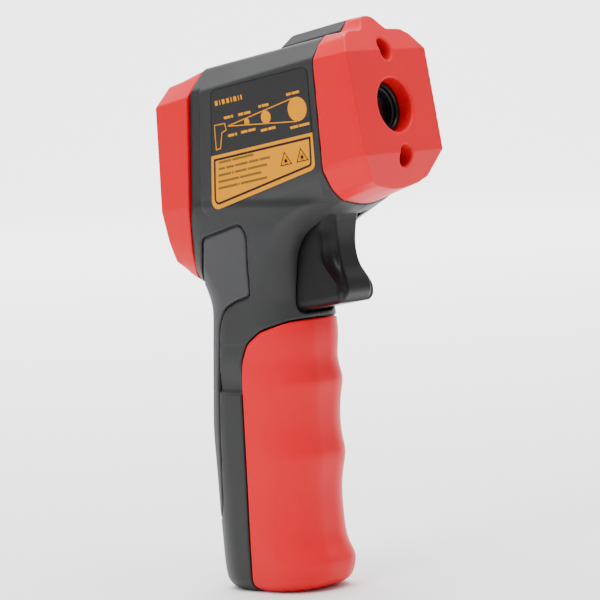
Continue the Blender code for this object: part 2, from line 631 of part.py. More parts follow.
clear_scene()
PARTS = collection(OBJECT_NAME)
CUTTERS = collection("cutters")
ROOT = empty("device_frame", -CENTRE, 0)
HEAD = empty("optical_frame", *NOSE, -TILT, ROOT)
DOOR_AXIS = empty("door_axis", *HINGE, parent=ROOT)
build_housing()
build_door()
build_inlay()
build_front_bezel()
build_rear_bezel()
build_display()
build_optics()
build_boards()
build_trigger()
build_trigger_spring()
build_switch()
build_battery()
build_leads()
build_labels()
build_fasteners()
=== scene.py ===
"""Looks for the pistol-grip infrared thermometer: moulded shells, trigger, labels, keys and a plain studio.

The outer pieces are implicit solids, meshed by dual contouring, in millimetres from the centre of the grip's
base. CENTRE moves them to the frame's origin, which is below the middle of the overall length.
"""
import math

import bmesh
import bpy
import numpy as np
from mathutils import Matrix, Vector


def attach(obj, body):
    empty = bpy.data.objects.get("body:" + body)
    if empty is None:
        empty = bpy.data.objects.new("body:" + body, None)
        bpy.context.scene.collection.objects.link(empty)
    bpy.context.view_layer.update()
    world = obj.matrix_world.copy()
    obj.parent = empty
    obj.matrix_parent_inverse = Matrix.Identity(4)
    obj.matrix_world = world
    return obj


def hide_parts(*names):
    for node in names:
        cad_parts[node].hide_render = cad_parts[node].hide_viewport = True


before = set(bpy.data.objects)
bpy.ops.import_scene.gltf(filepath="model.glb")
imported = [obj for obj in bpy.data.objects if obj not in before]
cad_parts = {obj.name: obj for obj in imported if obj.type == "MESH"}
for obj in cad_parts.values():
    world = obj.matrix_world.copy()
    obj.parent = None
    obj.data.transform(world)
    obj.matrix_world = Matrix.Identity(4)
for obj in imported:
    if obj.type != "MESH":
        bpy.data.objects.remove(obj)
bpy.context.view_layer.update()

MM = 0.001
CENTRE = 12.72                # x of the frame's origin, from the grip's datum
TILT = math.radians(9.0)
COS, SIN = math.cos(TILT), math.sin(TILT)
NOSE = (55.0, 162.0)
SEAM = 0.16                   # unit of the gaps between shells, which are about three of it wide
COARSE = 1.0

HEAD_HALF = 20.25             # half the head's width
PAD_HALF = 21.3               # the same at the raised pad under the label
HEAD_TOP = 25.8               # above the optical axis
HEAD_LENGTH = 86.9            # from the nose to the display's face
BORE = 8.95                   # radius of the sensor's bore
# each laser hole's height, half width, half height and sideways shift
LASERS = {"upper": (18.6, 3.15, 3.8, 0.35), "lower": (-16.7, 3.3, 3.5, 1.3)}
PIVOT = (-31.0, -27.5)        # the trigger's pin, in the nose's frame
PIN_HOLE = 1.58
PLATE_HALF = 9.5              # half the trigger's width
SLOT_HALF = 9.8               # half the width of the slot that it swings in
HINGE = (1.6, 4.0)            # the door's pin, in the grip's frame
HINGE_HOLE = 1.08
DOOR_SWING = math.radians(60)
REAR_X = NOSE[0] - HEAD_LENGTH * COS

# each screw's x and z, the frame they are in, and y of the floor of its recess
SCREWS = {"front_upper": (-27.5, 17.5, "head", 16.6), "rear_upper": (-63.0, 17.5, "head", 16.6),
          "front_lower": (-22.6, -24.3, "head", 13.0), "neck_upper": (3.0, 128.6, "grip", 15.5),
          "neck_lower": (-4.0, 91.6, "grip", 13.5), "base": (-14.0, 13.0, "grip", 11.5)}


# ---------------------------------------------------------------- implicit building blocks
def to_nose(X, Z):
    """The head's frame: x runs along the tilted optical axis, from its origin at the nose."""
    dx, dz = X - NOSE[0], Z - NOSE[1]
    return dx * COS + dz * SIN, dz * COS - dx * SIN


def from_nose(x, z):
    """From the head's frame back to the grip's."""
    return NOSE[0] + x * COS - z * SIN, NOSE[1] + x * SIN + z * COS


def both(a, b, r=0.0):
    """Intersection, with the edge rounded to radius r."""
    if np.ndim(r) == 0 and not r:
        return np.maximum(a, b)
    return np.minimum(-r, np.maximum(a, b)) + np.hypot(np.maximum(r + a, 0), np.maximum(r + b, 0))


def crease(a, b, k=0.15):
    """Intersection along an obtuse edge, softened over a narrow band."""
    h = np.maximum(k - np.abs(a - b), 0) / k
    return np.maximum(a, b) + h * h * k / 4


def either(a, b, r=0.0):
    """Union, with the corner filled to radius r."""
    if np.ndim(r) == 0 and not r:
        return np.minimum(a, b)
    return np.maximum(r, np.minimum(a, b)) - np.hypot(np.maximum(r - a, 0), np.maximum(r - b, 0))


def minus(a, b, r=0.0):
    return both(a, -b, r)


def slab(value, low, high):
    """Negative between two limits."""
    return np.maximum(low - value, value - high)


def ramp(value, low, high):
    """A smooth step from 0 to 1."""
    t = np.clip((value - low) / (high - low), 0, 1)
    return t * t * (3 - 2 * t)


class Spline:
    """A natural cubic through (place, value) knots."""

    def __init__(self, *knots):
        t, v = (np.array(k, float) for k in zip(*sorted(knots)))
        n = len(t)
        h = np.diff(t)
        system, right = np.zeros((n, n)), np.zeros(n)
        system[0, 0] = system[-1, -1] = 1
        for i in range(1, n - 1):
            system[i, i - 1:i + 2] = h[i - 1], 2 * (h[i - 1] + h[i]), h[i]
            right[i] = 6 * ((v[i + 1] - v[i]) / h[i] - (v[i] - v[i - 1]) / h[i - 1])
        self.t, self.v, self.h, self.m = t, v, h, np.linalg.solve(system, right)

    def __call__(self, x):
        x = np.clip(x, self.t[0], self.t[-1])
        i = np.clip(np.searchsorted(self.t, x) - 1, 0, len(self.h) - 1)
        h, a, b = self.h[i], self.t[i + 1] - x, x - self.t[i]
        m, v = self.m, self.v
        return (m[i] * a ** 3 + m[i + 1] * b ** 3) / (6 * h) + (v[i] / h - m[i] * h / 6) * a \
            + (v[i + 1] / h - m[i + 1] * h / 6) * b


def rounded(corners, steps=7):
    """A closed outline from (x, z, corner radius)."""
    out = []
    n = len(corners)
    for i, (x, z, r) in enumerate(corners):
        p = np.array((x, z))
        if not r:
            out.append(p)
            continue
        u = np.array(corners[i - 1][:2]) - p
        v = np.array(corners[(i + 1) % n][:2]) - p
        lu, lv = np.linalg.norm(u), np.linalg.norm(v)
        u, v = u / lu, v / lv
        half = math.acos(max(-1, min(1, float(u @ v)))) / 2
        reach = min(r / math.tan(half), 0.49 * lu, 0.49 * lv)
        r = reach * math.tan(half)
        middle = p + (u + v) / np.linalg.norm(u + v) * (r / math.sin(half))
        a, b = p + u * reach - middle, p + v * reach - middle
        turn = math.pi - 2 * half
        for k in range(steps + 1):
            s = k / steps
            w = a * math.sin((1 - s) * turn) + b * math.sin(s * turn)
            out.append(middle + w / math.sin(turn))
    return out


class Region:
    """Signed distance to a closed outline, read from a fine table."""

    def __init__(self, outline, margin=14.0, cell=0.25):
        pts = np.array(outline, float)
        self.low = pts.min(0) - margin
        self.cell = cell
        size = np.ceil((pts.max(0) + margin - self.low) / cell).astype(int) + 1
        x = self.low[0] + cell * np.arange(size[0])[:, None]
        z = self.low[1] + cell * np.arange(size[1])[None, :]
        near = np.full(size, 1e9)
        inside = np.zeros(size, bool)
        for (x0, z0), (x1, z1) in zip(pts, np.roll(pts, -1, 0)):
            ex, ez = x1 - x0, z1 - z0
            length = ex * ex + ez * ez
            if length < 1e-12:
                continue
            t = np.clip(((x - x0) * ex + (z - z0) * ez) / length, 0, 1)
            near = np.minimum(near, (x - x0 - t * ex) ** 2 + (z - z0 - t * ez) ** 2)
            if z0 != z1:
                inside ^= ((z0 > z) != (z1 > z)) & (x < ex * (z - z0) / ez + x0)
        self.table = np.where(inside, -1, 1) * np.sqrt(near)
        self.top = size - 1.001

    def __call__(self, x, z):
        u, w = np.broadcast_arrays((x - self.low[0]) / self.cell, (z - self.low[1]) / self.cell)
        u, w = np.clip(u, 0, self.top[0]), np.clip(w, 0, self.top[1])
        i, k = u.astype(int), w.astype(int)
        u, w = u - i, w - k
        t = self.table
        near, far = t[i, k] * (1 - u) + t[i + 1, k] * u, t[i, k + 1] * (1 - u) + t[i + 1, k + 1] * u
        return near * (1 - w) + far * w


# ---------------------------------------------------------------- dual contouring
def slope(f, p, step=0.06):
    """Unit gradient of f at the points p."""
    total = np.zeros_like(p)
    for k in ((1, -1, -1), (-1, -1, 1), (-1, 1, -1), (1, 1, 1)):
        q = p + step * np.array(k)
        total += f(q[:, 0], q[:, 1], q[:, 2])[:, None] * np.array(k, float)
    return total / np.maximum(np.linalg.norm(total, axis=1, keepdims=True), 1e-12)


def contour(f, low, high, step):
    """Quads on the surface f = 0, with vertices on its edges and corners, and a normal for each corner."""
    axes = [np.arange(a - 2 * step, b + 3 * step, step) for a, b in zip(low, high)]
    grid = np.broadcast_to(f(axes[0][:, None, None], axes[1][None, :, None], axes[2][None, None, :]),
                           [len(a) for a in axes])
    inside = grid < 0
    shape = np.array(grid.shape)
    stride = np.array((shape[1] * shape[2], shape[2], 1))
    points, cells, loops = [], [], []
    count = 0
    for axis in range(3):
        lower = [slice(None)] * 3
        upper = [slice(None)] * 3
        lower[axis], upper[axis] = slice(None, -1), slice(1, None)
        index = np.argwhere(inside[tuple(lower)] != inside[tuple(upper)])
        if not len(index):
            continue
        unit = np.eye(3, dtype=int)[axis]
        first = grid[tuple(index.T)]
        last = grid[tuple((index + unit).T)]
        start = np.stack([axes[d][index[:, d]] for d in range(3)], 1)
        t0, t1, f0, f1 = np.zeros(len(index)), np.ones(len(index)), first.copy(), last.copy()
        for _ in range(3):
            t = t0 + (t1 - t0) * f0 / (f0 - f1)
            p = start + (t * step)[:, None] * unit
            value = f(p[:, 0], p[:, 1], p[:, 2])
            same = (value < 0) == (f0 < 0)
            t0, f0 = np.where(same, t, t0), np.where(same, value, f0)
            t1, f1 = np.where(same, t1, t), np.where(same, f1, value)
            f0, f1 = np.where(f0 == f1, f0 + 1e-9, f0), f1
        points.append(p)
        b, c = np.eye(3, dtype=int)[(axis + 1) % 3], np.eye(3, dtype=int)[(axis + 2) % 3]
        around = [index - b - c, index - c, index, index - b]
        ids = np.stack([(a * stride).sum(1) for a in around], 1)
        cells.append(ids)
        quads = np.where((first < 0)[:, None], ids, ids[:, ::-1])
        loops.append(quads)
        count += len(index)
    points = np.concatenate(points)
    cells = np.concatenate(cells)
    quads = np.concatenate(loops)
    normals = slope(f, points)
    unique, inverse = np.unique(cells, return_inverse=True)
    inverse = inverse.reshape(cells.shape)
    flat = inverse.ravel()
    n = len(unique)

    def gather(values):
        return np.bincount(flat, weights=np.repeat(values, 4), minlength=n)

    hits = gather(np.ones(count))
    middle = np.stack([gather(points[:, d]) / hits for d in range(3)], 1)
    matrix = np.zeros((n, 3, 3))
    for a in range(3):
        for b in range(a, 3):
            matrix[:, a, b] = matrix[:, b, a] = gather(normals[:, a] * normals[:, b])
    along = (normals * points).sum(1)
    right = np.stack([gather(normals[:, d] * along) for d in range(3)], 1) \
        - np.einsum("nij,nj->ni", matrix, middle)
    matrix += np.eye(3) * 0.03 * hits[:, None, None]
    shift = np.linalg.solve(matrix, right[..., None])[..., 0]
    corner = np.stack([axes[0][unique // stride[0]], axes[1][unique % stride[0] // stride[1]],
                       axes[2][unique % stride[1]]], 1)
    verts = np.clip(middle + shift, corner + 0.02 * step, corner + 0.98 * step)
    faces = np.searchsorted(unique, quads)
    centre = verts[faces].mean(1, keepdims=True)
    sample = verts[faces] * 0.75 + centre * 0.25
    return verts, faces, slope(f, sample.reshape(-1, 3))


def new_mesh(name, verts, faces, corner_normals=None, look=None, body="housing", smooth=True):
    """An object from millimetre points in the grip's frame."""
    mesh = bpy.data.meshes.new(name)
    points = (np.array(verts, float) - (CENTRE, 0, 0)) * MM
    mesh.from_pydata(points.tolist(), [], [list(map(int, face)) for face in faces])
    mesh.update()
    if smooth:
        mesh.shade_smooth()
    if corner_normals is not None:
        mesh.normals_split_custom_set(corner_normals.tolist())
    return add(name, mesh, look, body)


def add(name, mesh, look, body):
    made = bpy.data.objects.new(name, mesh)
    bpy.context.scene.collection.objects.link(made)
    mesh.materials.append(look)
    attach(made, body)
    return made


def claim(made, nodes):
    """Hides the CAD nodes that the piece stands for."""
    if nodes:
        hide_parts(*nodes)


def solid(name, f, low, high, step, look, body, slot, *nodes):
    """A piece from its implicit form, inside the box from low to high."""
    verts, faces, normals = contour(f, low, high, step * COARSE)
    claim(new_mesh(name, verts, faces, normals, look, body), nodes)


# ---------------------------------------------------------------- the device's outer form
TAIL_BEND = -19.0             # height where the seam before the rear bezel turns inwards


def rear_seam(z):
    """x of the seam between the housing and the rear bezel, in the head's frame."""
    return -73.0 + np.where(z > TAIL_BEND, 0.215 * z, 0.215 * TAIL_BEND + 0.31 * (z - TAIL_BEND))


def front_seam(z):
    """x of the seam between the housing and the front bezel."""
    return -15.4 + 0.103 * z


def mirrored(half):
    """A closed section from its right half, listed from the top down, as (y, z, corner radius)."""
    return rounded(half + [(-y, z, r) for y, z, r in reversed(half)], 5)


NOSE_RING = Region(mirrored([(1.0, 30.8, 1.5), (3.1, 30.3, 1.5), (5.4, 27.3, 2.0), (6.7, 25.9, 2.5),
                             (14.0, 25.6, 2.0), (17.2, 23.8, 4.0), (21.0, 18.2, 0.7), (20.75, -15.8, 0.7),
                             (15.0, -24.0, 1.5), (10.6, -25.7, 9.0), (4.9, -26.75, 20.0), (0.5, -27.1, 0)]))
SEAM_RING = Region(mirrored([(0.6, 31.1, 1.0), (2.0, 30.6, 1.2), (4.6, 27.7, 4.0), (6.6, 25.9, 2.5),
                             (13.8, 26.0, 3.0), (17.6, 23.1, 8.0), (21.3, 18.3, 1.5), (21.3, -17.6, 2.5),
                             (17.2, -24.2, 9.0), (12.6, -27.7, 3.5), (4.5, -29.3, 20.0), (0.5, -29.6, 0)]))
PAD = Region(rounded([(-61.4, 27.0, 1.0), (-72.9, -25.2, 6.0), (-18.0, -19.8, 3.0), (-8.0, -17.6, 1.0),
                      (-8.0, 27.0, 1.0)]))

# the grip's back, front and half width over its height
GRIP_BACK = Spline((0, -19.6), (5.8, -21.0), (15.4, -21.7), (27.7, -22.4), (42, -23.0), (54, -23.4),
                   (66, -22.8), (83, -21.7), (91.5, -21.1), (96.5, -21.0), (101, -21.5), (106, -22.4),
                   (115, -23.0), (134, -20.0))
GRIP_FRONT = Spline((0, 17.4), (1.5, 19.4), (4.4, 21.4), (7.6, 22.5), (10.5, 22.5), (13.0, 21.2),
                    (15.6, 19.9), (21, 18.9), (28, 18.7), (34, 18.7), (40, 19.5), (43.6, 20.3),
                    (46.2, 20.5), (49, 20.0), (53, 19.4), (58, 19.3), (63, 19.6), (67.5, 20.4),
                    (70.8, 20.9), (74, 20.2), (78, 19.6), (84, 19.9), (89, 19.9), (93, 19.4), (96, 19.1))
NECK_FRONT = Spline((94, 19.3), (98.6, 18.5), (102, 18.3), (107, 18.4), (112, 18.9), (115.4, 19.8),
                    (118.7, 21.6), (122.6, 24.9), (126.2, 29.6), (131, 38.0))
GRIP_HALF = Spline((0, 16.9), (8, 17.2), (30, 17.3), (70, 17.3), (95, 17.3), (104.5, 17.6), (112, 18.3),
                   (119, 19.2), (126, 19.8), (134, 19.8))
FINGER_DENTS = ((77.5, 5.0, 0.38), (57.0, 6.0, 0.3), (29.0, 9.0, 0.5))      # height, spread, depth


def grip_round(Z):
    """The radius of the grip's upright edges, smaller at the neck."""
    return 14.0 - 5.0 * ramp(Z, 94.0, 112.0)


def grip_front(Z):
    """The finger grooves below the trigger, and the arch behind it."""
    t = ramp(Z, 94.0, 98.0)
    return GRIP_FRONT(Z) * (1 - t) + NECK_FRONT(Z) * t


def finger_dents(X, Z):
    """How far the finger grooves wrap on to the sides."""
    deep = sum(depth * np.exp(-((Z - height) / spread) ** 2) for height, spread, depth in FINGER_DENTS)
    return deep * ramp(X, -2.0, 7.0)


def grip(X, Y, Z, inset=0.0):
    """The grip and neck, as round-edged sections whose size follows the splines."""
    back, front = GRIP_BACK(Z), grip_front(Z)
    half, r = GRIP_HALF(Z) - finger_dents(X, Z), grip_round(Z)
    qx = np.abs(X - (back + front) / 2) - (front - back) / 2 + r
    qy = np.abs(Y) - half + r
    body = np.hypot(np.maximum(qx, 0), np.maximum(qy, 0)) + np.minimum(np.maximum(qx, qy), 0) - r + inset
    top = Z - 131.0 + inset
    return both(both(body, -Z + inset, 4.5 - min(inset, 2.5)), top, 1.0)


def head(X, Y, Z, inset=0.0):
    """The head: leaning sides with a raised pad, a chamfer along the top, and a keel below."""
    x, z = to_nose(X, Z)
    y = np.abs(Y)
    pad = HEAD_HALF + (PAD_HALF - HEAD_HALF) * (1 - ramp(PAD(x, z), -0.3, 1.3))
    t = np.clip((x + 17.0) / -62.0, 0, 1)
    lean = 0.538 + (0.29 - 0.538) * t
    side = crease(y - pad, (y - 21.2 + lean * (-19.0 - z)) / np.sqrt(1 + lean ** 2), 1.2)
    chamfer = 0.7118 * y + 0.7023 * z - 28.35 - 0.0227 * np.clip(x + 13.0, -80, 0)
    side = crease(side, chamfer, 0.9)
    low = (-30.2 + 0.21 * (x + 18.5) - z) * 0.979
    keel = np.where(z < -15.0, SEAM_RING(Y, z) - 0.3 * np.clip(-17.4 - x, 0, 80), -5.0)
    return np.maximum(both(crease(side, z - HEAD_TOP, 1.2), low, 5.0), keel) + inset


# the sighting ridge's section, and the finger scoop beside the door
RIDGE = Region(mirrored([(0.6, 31.0, 0), (1.5, 30.8, 1.2), (5.0, 27.6, 0.6), (5.7, 25.4, 0.5),
                         (6.5, 20.0, 0)]))
SCOOP = Region(rounded([(-13.4, 66.9, 0), (-13.4, 84.0, 3.0), (0.0, 84.0, 0), (0.0, 66.9, 0)]))


def outer(X, Y, Z, scooped=True):
    """The dark body with door and inlay, before it is divided."""
    x, z = to_nose(X, Z)
    body = either(head(X, Y, Z), grip(X, Y, Z), 3.0)
    end = (-37.4 - x - (30.6 - z) * 0.75) * 0.8
    ridge = both(both(RIDGE(Y, z - 0.02 * (x + 13)), end, 1.8), 20.0 - z)
    body = either(body, ridge, 0.5)
    if not scooped:
        return body
    sink = 1.7 * ramp(81.5 - Z, 0.0, 13.0) * np.clip((Z - 67.1) / 1.1, 0, 1)
    return minus(body, both(GRIP_HALF(Z) - sink - np.abs(Y), SCOOP(X, Z), 0.4), 0.3)


def door_outline(grow):
    """The door from the side. Below, its rear corner is round about the hinge."""
    x, z = HINGE
    r = 4.0 + grow
    angles = [math.radians(a) for a in range(270, 179, -9)]
    corner = [(x + r * math.cos(a), z + r * math.sin(a), 0) for a in angles]
    edge = [(-2.4 - grow, 40.0, 0), (-2.4 - grow, 71.0, 8.0), (-1.9 - grow, 78.0 + grow * 0.2, 12.0),
            (0.7 - grow * 0.8, 84.2 + grow * 0.6, 7.0), (6.4 - grow * 0.4, 88.2 + grow, 9.0),
            (15.5, 91.4 + grow, 12.0), (40.0, 95.6 + grow, 0), (40.0, -6.0, 0), (x, -6.0, 0)]
    return rounded(corner + edge)


DOOR = Region(door_outline(-SEAM / 2))
DOOR_SPACE = Region(door_outline(SEAM * 2.8))

INLAY = Region(rounded([(-14.3, 120.0, 2.6), (2.9, 124.8, 3.4), (4.7, 120.5, 6.0), (3.4, 110.0, 12.0),
                        (3.3, 100.3, 2.0), (-3.0, 98.6, 8.0), (-8.6, 95.6, 7.0), (-11.2, 90.0, 8.0),
                        (-13.0, 72.0, 20.0), (-14.3, 40.0, 30.0), (-14.7, 29.5, 9.0), (-17.6, 23.4, 7.0),
                        (-42.0, 20.0, 0), (-42.0, 104.0, 0), (-18.6, 104.5, 3.0), (-16.4, 111.5, 12.0)]))


def inlay_solid(X, Y, Z):
    """A skin 1.4 mm thick round the back of the grip."""
    body = outer(X, Y, Z)
    return both(both(both(body + 0.05, INLAY(X, Z) + 0.38, 0.8), -1.45 - body, 0.2), -24.8 - X)


def door_solid(X, Y, Z):
    """The front of the grip: a shell with two hinge knuckles at its foot and a rib at its top."""
    body = outer(X, Y, Z, False)
    hollow = both(grip(X, Y, Z, 2.3), both(3.2 - Z, Z - 89.5))
    shell = minus(both(body, DOOR(X, Z), 0.7), hollow)
    x, z = HINGE
    radius = np.hypot(X - x, Z - z)
    y = np.abs(Y)
    eye = np.minimum(radius - 2.6, np.maximum(np.abs(X - x) - 2.6, slab(Z, 1.0, z)))
    knuckle = both(both(eye, slab(y, 3.0, 8.0)), -Z + 0.5)
    notch = both(both(slab(X, -6.0, 4.6), slab(y, 8.3, 11.9)), Z - 8.0)
    rib = both(both(slab(y, 0.0, 0.6), slab(Z, 70.0, 89.9)), both(grip(X, Y, Z, 2.0), 12.5 - X))
    shell = either(either(shell, knuckle), rib)
    return minus(minus(shell, notch), both(radius - HINGE_HOLE, slab(y, -1.0, 13.0)))


def cavity(X, Y, Z):
    """Head, neck, battery bay and rear channel, less the screw posts and the trigger pin's bosses."""
    x, z = to_nose(X, Z)
    neck = both(grip(X, Y, Z, 3.6), slab(Z, 95.0, 127.0))
    bay = both(grip(X, Y, Z, 2.6), both(-7.2 - X, slab(Z, 3.2, 88.5)))
    channel = both(grip(X, Y, Z, 4.4), both(X + 9.2, slab(Z, 3.2, 88.1)))
    duct = both(slab(X, 2.0, 7.5), both(slab(Y, -1.0, 11.6), slab(Z, 80.0, 100.0)))
    hollow = either(either(head(X, Y, Z, 2.4), neck), either(either(bay, channel), duct))
    posts = np.hypot(x - PIVOT[0], z - PIVOT[1]) - 3.6
    for px, pz in (screw_point(n) for n in SCREWS):
        posts = np.minimum(posts, np.hypot(X - px, Z - pz) - 3.3)
    return minus(hollow, posts)


def screw_point(name):
    x, z, where, _ = SCREWS[name]
    return (x, z) if where == "grip" else from_nose(x, z)


# the trigger's slot, from the side
SLOT = Region([(-26.4, -34.5), (-26.4, -22.0), (-51.5, -22.0), (-51.5, -70.0), (-5.0, -70.0), (-5.0, -34.5)])


def swing(X, Z):
    """What the door's flat bottom needs behind the hinge when it is fully open."""
    dx, dz = X - HINGE[0], Z - HINGE[1]
    u = dx * math.cos(DOOR_SWING) - dz * math.sin(DOOR_SWING)
    w = dx * math.sin(DOOR_SWING) + dz * math.cos(DOOR_SWING)
    return np.maximum(slab(u, 0.0, 25.0), slab(w, -4.3, 0.0))


def housing(side):
    """One half of the dark housing: side is -1 for the right and 1 for the left, which takes the screws."""
    def f(X, Y, Z):
        form = outer(X, Y, Z)
        x, z = to_nose(X, Z)
        y = np.abs(Y)
        hx, hz = HINGE
        pin, hinge = np.hypot(x - PIVOT[0], z - PIVOT[1]), np.hypot(X - hx, Z - hz)
        body = both(form, (x - front_seam(z) + SEAM * 2.3) * 0.995, 0.4)
        body = both(body, (rear_seam(z) + SEAM * 2.3 - x) * 0.97, 0.4)
        body = minus(body, DOOR_SPACE(X, Z), 0.6)
        body = minus(body, both(INLAY(X, Z) - 0.35, -1.7 - form), 0.55)
        slot = both(SLOT(x, z), both(y - SLOT_HALF, -61.6 - z, 3.3))
        body = minus(body, both(slot, z + 22.0), 0.3)
        body = minus(minus(body, swing(X, Z)), cavity(X, Y, Z))
        arm = np.minimum(hinge - 2.5, both(slab(X, -9.0, hx), slab(Z, hz - 2.5, hz + 2.5)))
        body = either(body, both(arm, slab(y, 8.6, 11.6)))
        body = minus(body, both(hinge - HINGE_HOLE, y - 13.0))
        body = minus(body, both(pin - PIN_HOLE, y - 13.3))
        for name in SCREWS:
            px, pz = screw_point(name)
            r = np.hypot(X - px, Z - pz)
            if side > 0:
                body = minus(body, both(r - 3.0, SCREWS[name][3] - Y), 0.3)
                body = minus(body, r - 1.6)
            else:
                body = minus(body, both(r - 1.6, -7.5 - Y))
        return both(body, 0.1 - side * Y, 0.25)
    return f


# ---------------------------------------------------------------- bezels and trigger
BROW, CHIN = 18.35, -15.8     # heights where the nose's face breaks


def nose_facets(z):
    """The nose's face from the side: a flat, and a brow and chin that lean back from it."""
    return 0.45 + 0.015 * (BROW - z), 0.45 - 0.48 * (z - BROW), 0.95 - 0.46 * (CHIN - z)


def front_bezel(X, Y, Z):
    """The red nose, lofted from its face to the seam, with bores for the sensor and the lasers."""
    x, z = to_nose(X, Z)
    flat, brow, chin = nose_facets(z)
    front = crease(crease(x - flat, (x - brow) * 0.9, 0.12), (x - chin) * 0.9, 0.12)
    face = np.minimum(np.minimum(flat, brow), chin)
    t = np.clip((face - x) / (face - front_seam(z)), -0.3, 1.3)
    body = both(NOSE_RING(Y, z) * (1 - t) + SEAM_RING(Y, z) * t, front, 0.32)
    body = both(body, (front_seam(z) + SEAM * 0.5 - x) * 0.995, 0.35)
    body = minus(body, np.hypot(Y, z) - BORE, 1.05)
    for height, across, up, aside in LASERS.values():
        hole = (np.hypot((Y - aside) / across, (z - height) / up) - 1) * 3.3
        body = minus(body, hole, 0.7)
    return body


def rear_plane(z):
    """The display's face, upright on the tilted head."""
    return -HEAD_LENGTH + 0.158 * z


REAR_RING = Region(mirrored([(0.6, 22.6, 0), (13.9, 22.5, 2.0), (21.5, 15.9, 0.8), (21.3, -19.0, 2.5),
                             (18.2, -29.5, 12.0), (14.8, -36.4, 5.0), (9.0, -41.0, 6.0), (0.6, -42.4, 0)]))
TAIL_SEAM = Region(mirrored([(0.6, 25.3, 0), (12.9, 25.2, 2.5), (21.45, 16.6, 1.0), (21.2, -19.4, 2.5),
                             (18.2, -33.5, 16.0), (14.0, -43.6, 4.0), (0.6, -45.6, 0)]))
KEY_PITCH, KEY_HEIGHT = 10.0, 127.5
WINDOW = Region(rounded([(-15.0, 139.5, 2.0), (15.0, 139.5, 2.0), (15.0, 162.5, 2.0), (-15.0, 162.5, 2.0)]))
KEY_HOLE = Region(rounded([(-4.2, 123.9, 1.6), (4.2, 123.9, 1.6), (4.2, 131.1, 1.6), (-4.2, 131.1, 1.6)]))
FACE_DISH = Region(rounded([(-16.6, 121.8, 3.0), (16.6, 121.8, 3.0), (17.4, 164.6, 3.4),
                            (-17.4, 164.6, 3.4)]))


def tail(x, Y, z, inset=0.0):
    """The rear bezel's sides, lofted from the display's face to the seam."""
    run = rear_seam(z) - rear_plane(z)
    t = np.clip((x - rear_plane(z)) / run, -0.3, 1.3)
    return REAR_RING(Y, z) * (1 - t) + TAIL_SEAM(Y, z) * t + inset


def rear_bezel(X, Y, Z):
    """The hollow red tail, with openings for the display and the keys."""
    x, z = to_nose(X, Z)
    chin = (-38.6 - 1.32 * (x + 92.1) - z) * 0.6
    shell = both(both(tail(x, Y, z), chin, 2.0), (rear_plane(z) - x) * 0.988, 0.9)
    shell = minus(shell, both(FACE_DISH(Y, Z), X - REAR_X - 0.5), 0.3)
    body = both(shell, (x - rear_seam(z) + SEAM * 0.5) * 0.97, 0.35)
    hollow = both(both(tail(x, Y, z, 2.4), chin + 2.4), REAR_X + 2.6 - X)
    body = minus(body, hollow)
    body = minus(body, both(WINDOW(Y, Z), X - REAR_X - 5.0), 0.4)
    keys = np.minimum(np.minimum(KEY_HOLE(Y, Z), KEY_HOLE(Y - KEY_PITCH, Z)), KEY_HOLE(Y + KEY_PITCH, Z))
    return minus(body, both(keys, X - REAR_X - 5.0), 0.35)


# the trigger's flank plates from the side, the fronts of plates and finger pad, and the pad's half width
PLATE = Region(rounded([(-20.0, -24.6, 0.5), (-34.4, -24.4, 3.5), (-38.0, -26.6, 3.0), (-44.6, -30.1, 2.0),
                        (-51.2, -37.6, 2.0), (-51.2, -57.8, 2.0), (-46.8, -60.9, 2.0), (-20.0, -60.9, 0.5)]))
PLATE_FRONT = Spline((-62, -30.2), (-59, -29.4), (-56.5, -29.0), (-55.4, -29.1), (-53.2, -30.1),
                     (-51, -31.3), (-48.8, -32.6), (-46.3, -33.6), (-43.6, -33.9), (-38.7, -33.1),
                     (-33.8, -32.1), (-30.5, -29.2), (-24, -28.6))
FINGER_FRONT = Spline((-62, -31.0), (-60, -29.4), (-58.3, -28.0), (-56.6, -27.4), (-54.6, -27.4),
                      (-52, -28.1), (-50, -28.8), (-47, -29.4), (-44, -29.55), (-40, -29.3), (-36, -28.6),
                      (-32, -27.7), (-28.5, -27.1))
PAD_HALF_WIDTH = Spline((-62, 6.3), (-57, 6.5), (-54, 6.3), (-51, 5.7), (-47, 5.1), (-44, 4.9), (-41, 5.0),
                        (-38, 5.3), (-34, 5.9), (-29, 6.5))


def trigger(X, Y, Z):
    """Two flank plates with a narrower finger pad, a hole for the pin and a pocket for the spring."""
    x, z = to_nose(X, Z)
    y = np.abs(Y)
    plates = both(both(PLATE(x, z), (x - PLATE_FRONT(z)) * 0.95), y - PLATE_HALF, 0.6)
    finger = both(both((x - FINGER_FRONT(z)) * 0.96, -60.0 - z, 3.0), both(z + 28.8, -38.0 - x))
    pad = both(finger, y - PAD_HALF_WIDTH(z), 0.9)
    body = either(plates, pad, 3.6 - 2.4 * ramp(-z, 52.0, 57.0))
    body = both(body, both(-60.7 - z, y - PLATE_HALF, 3.2), 0.4)
    pin = np.hypot(x - PIVOT[0], z - PIVOT[1])
    spring_pocket = both(both(pin - 5.4, 5.2 - Y), x - PLATE_FRONT(z) + 0.8)
    return minus(minus(body, pin - PIN_HOLE), spring_pocket)


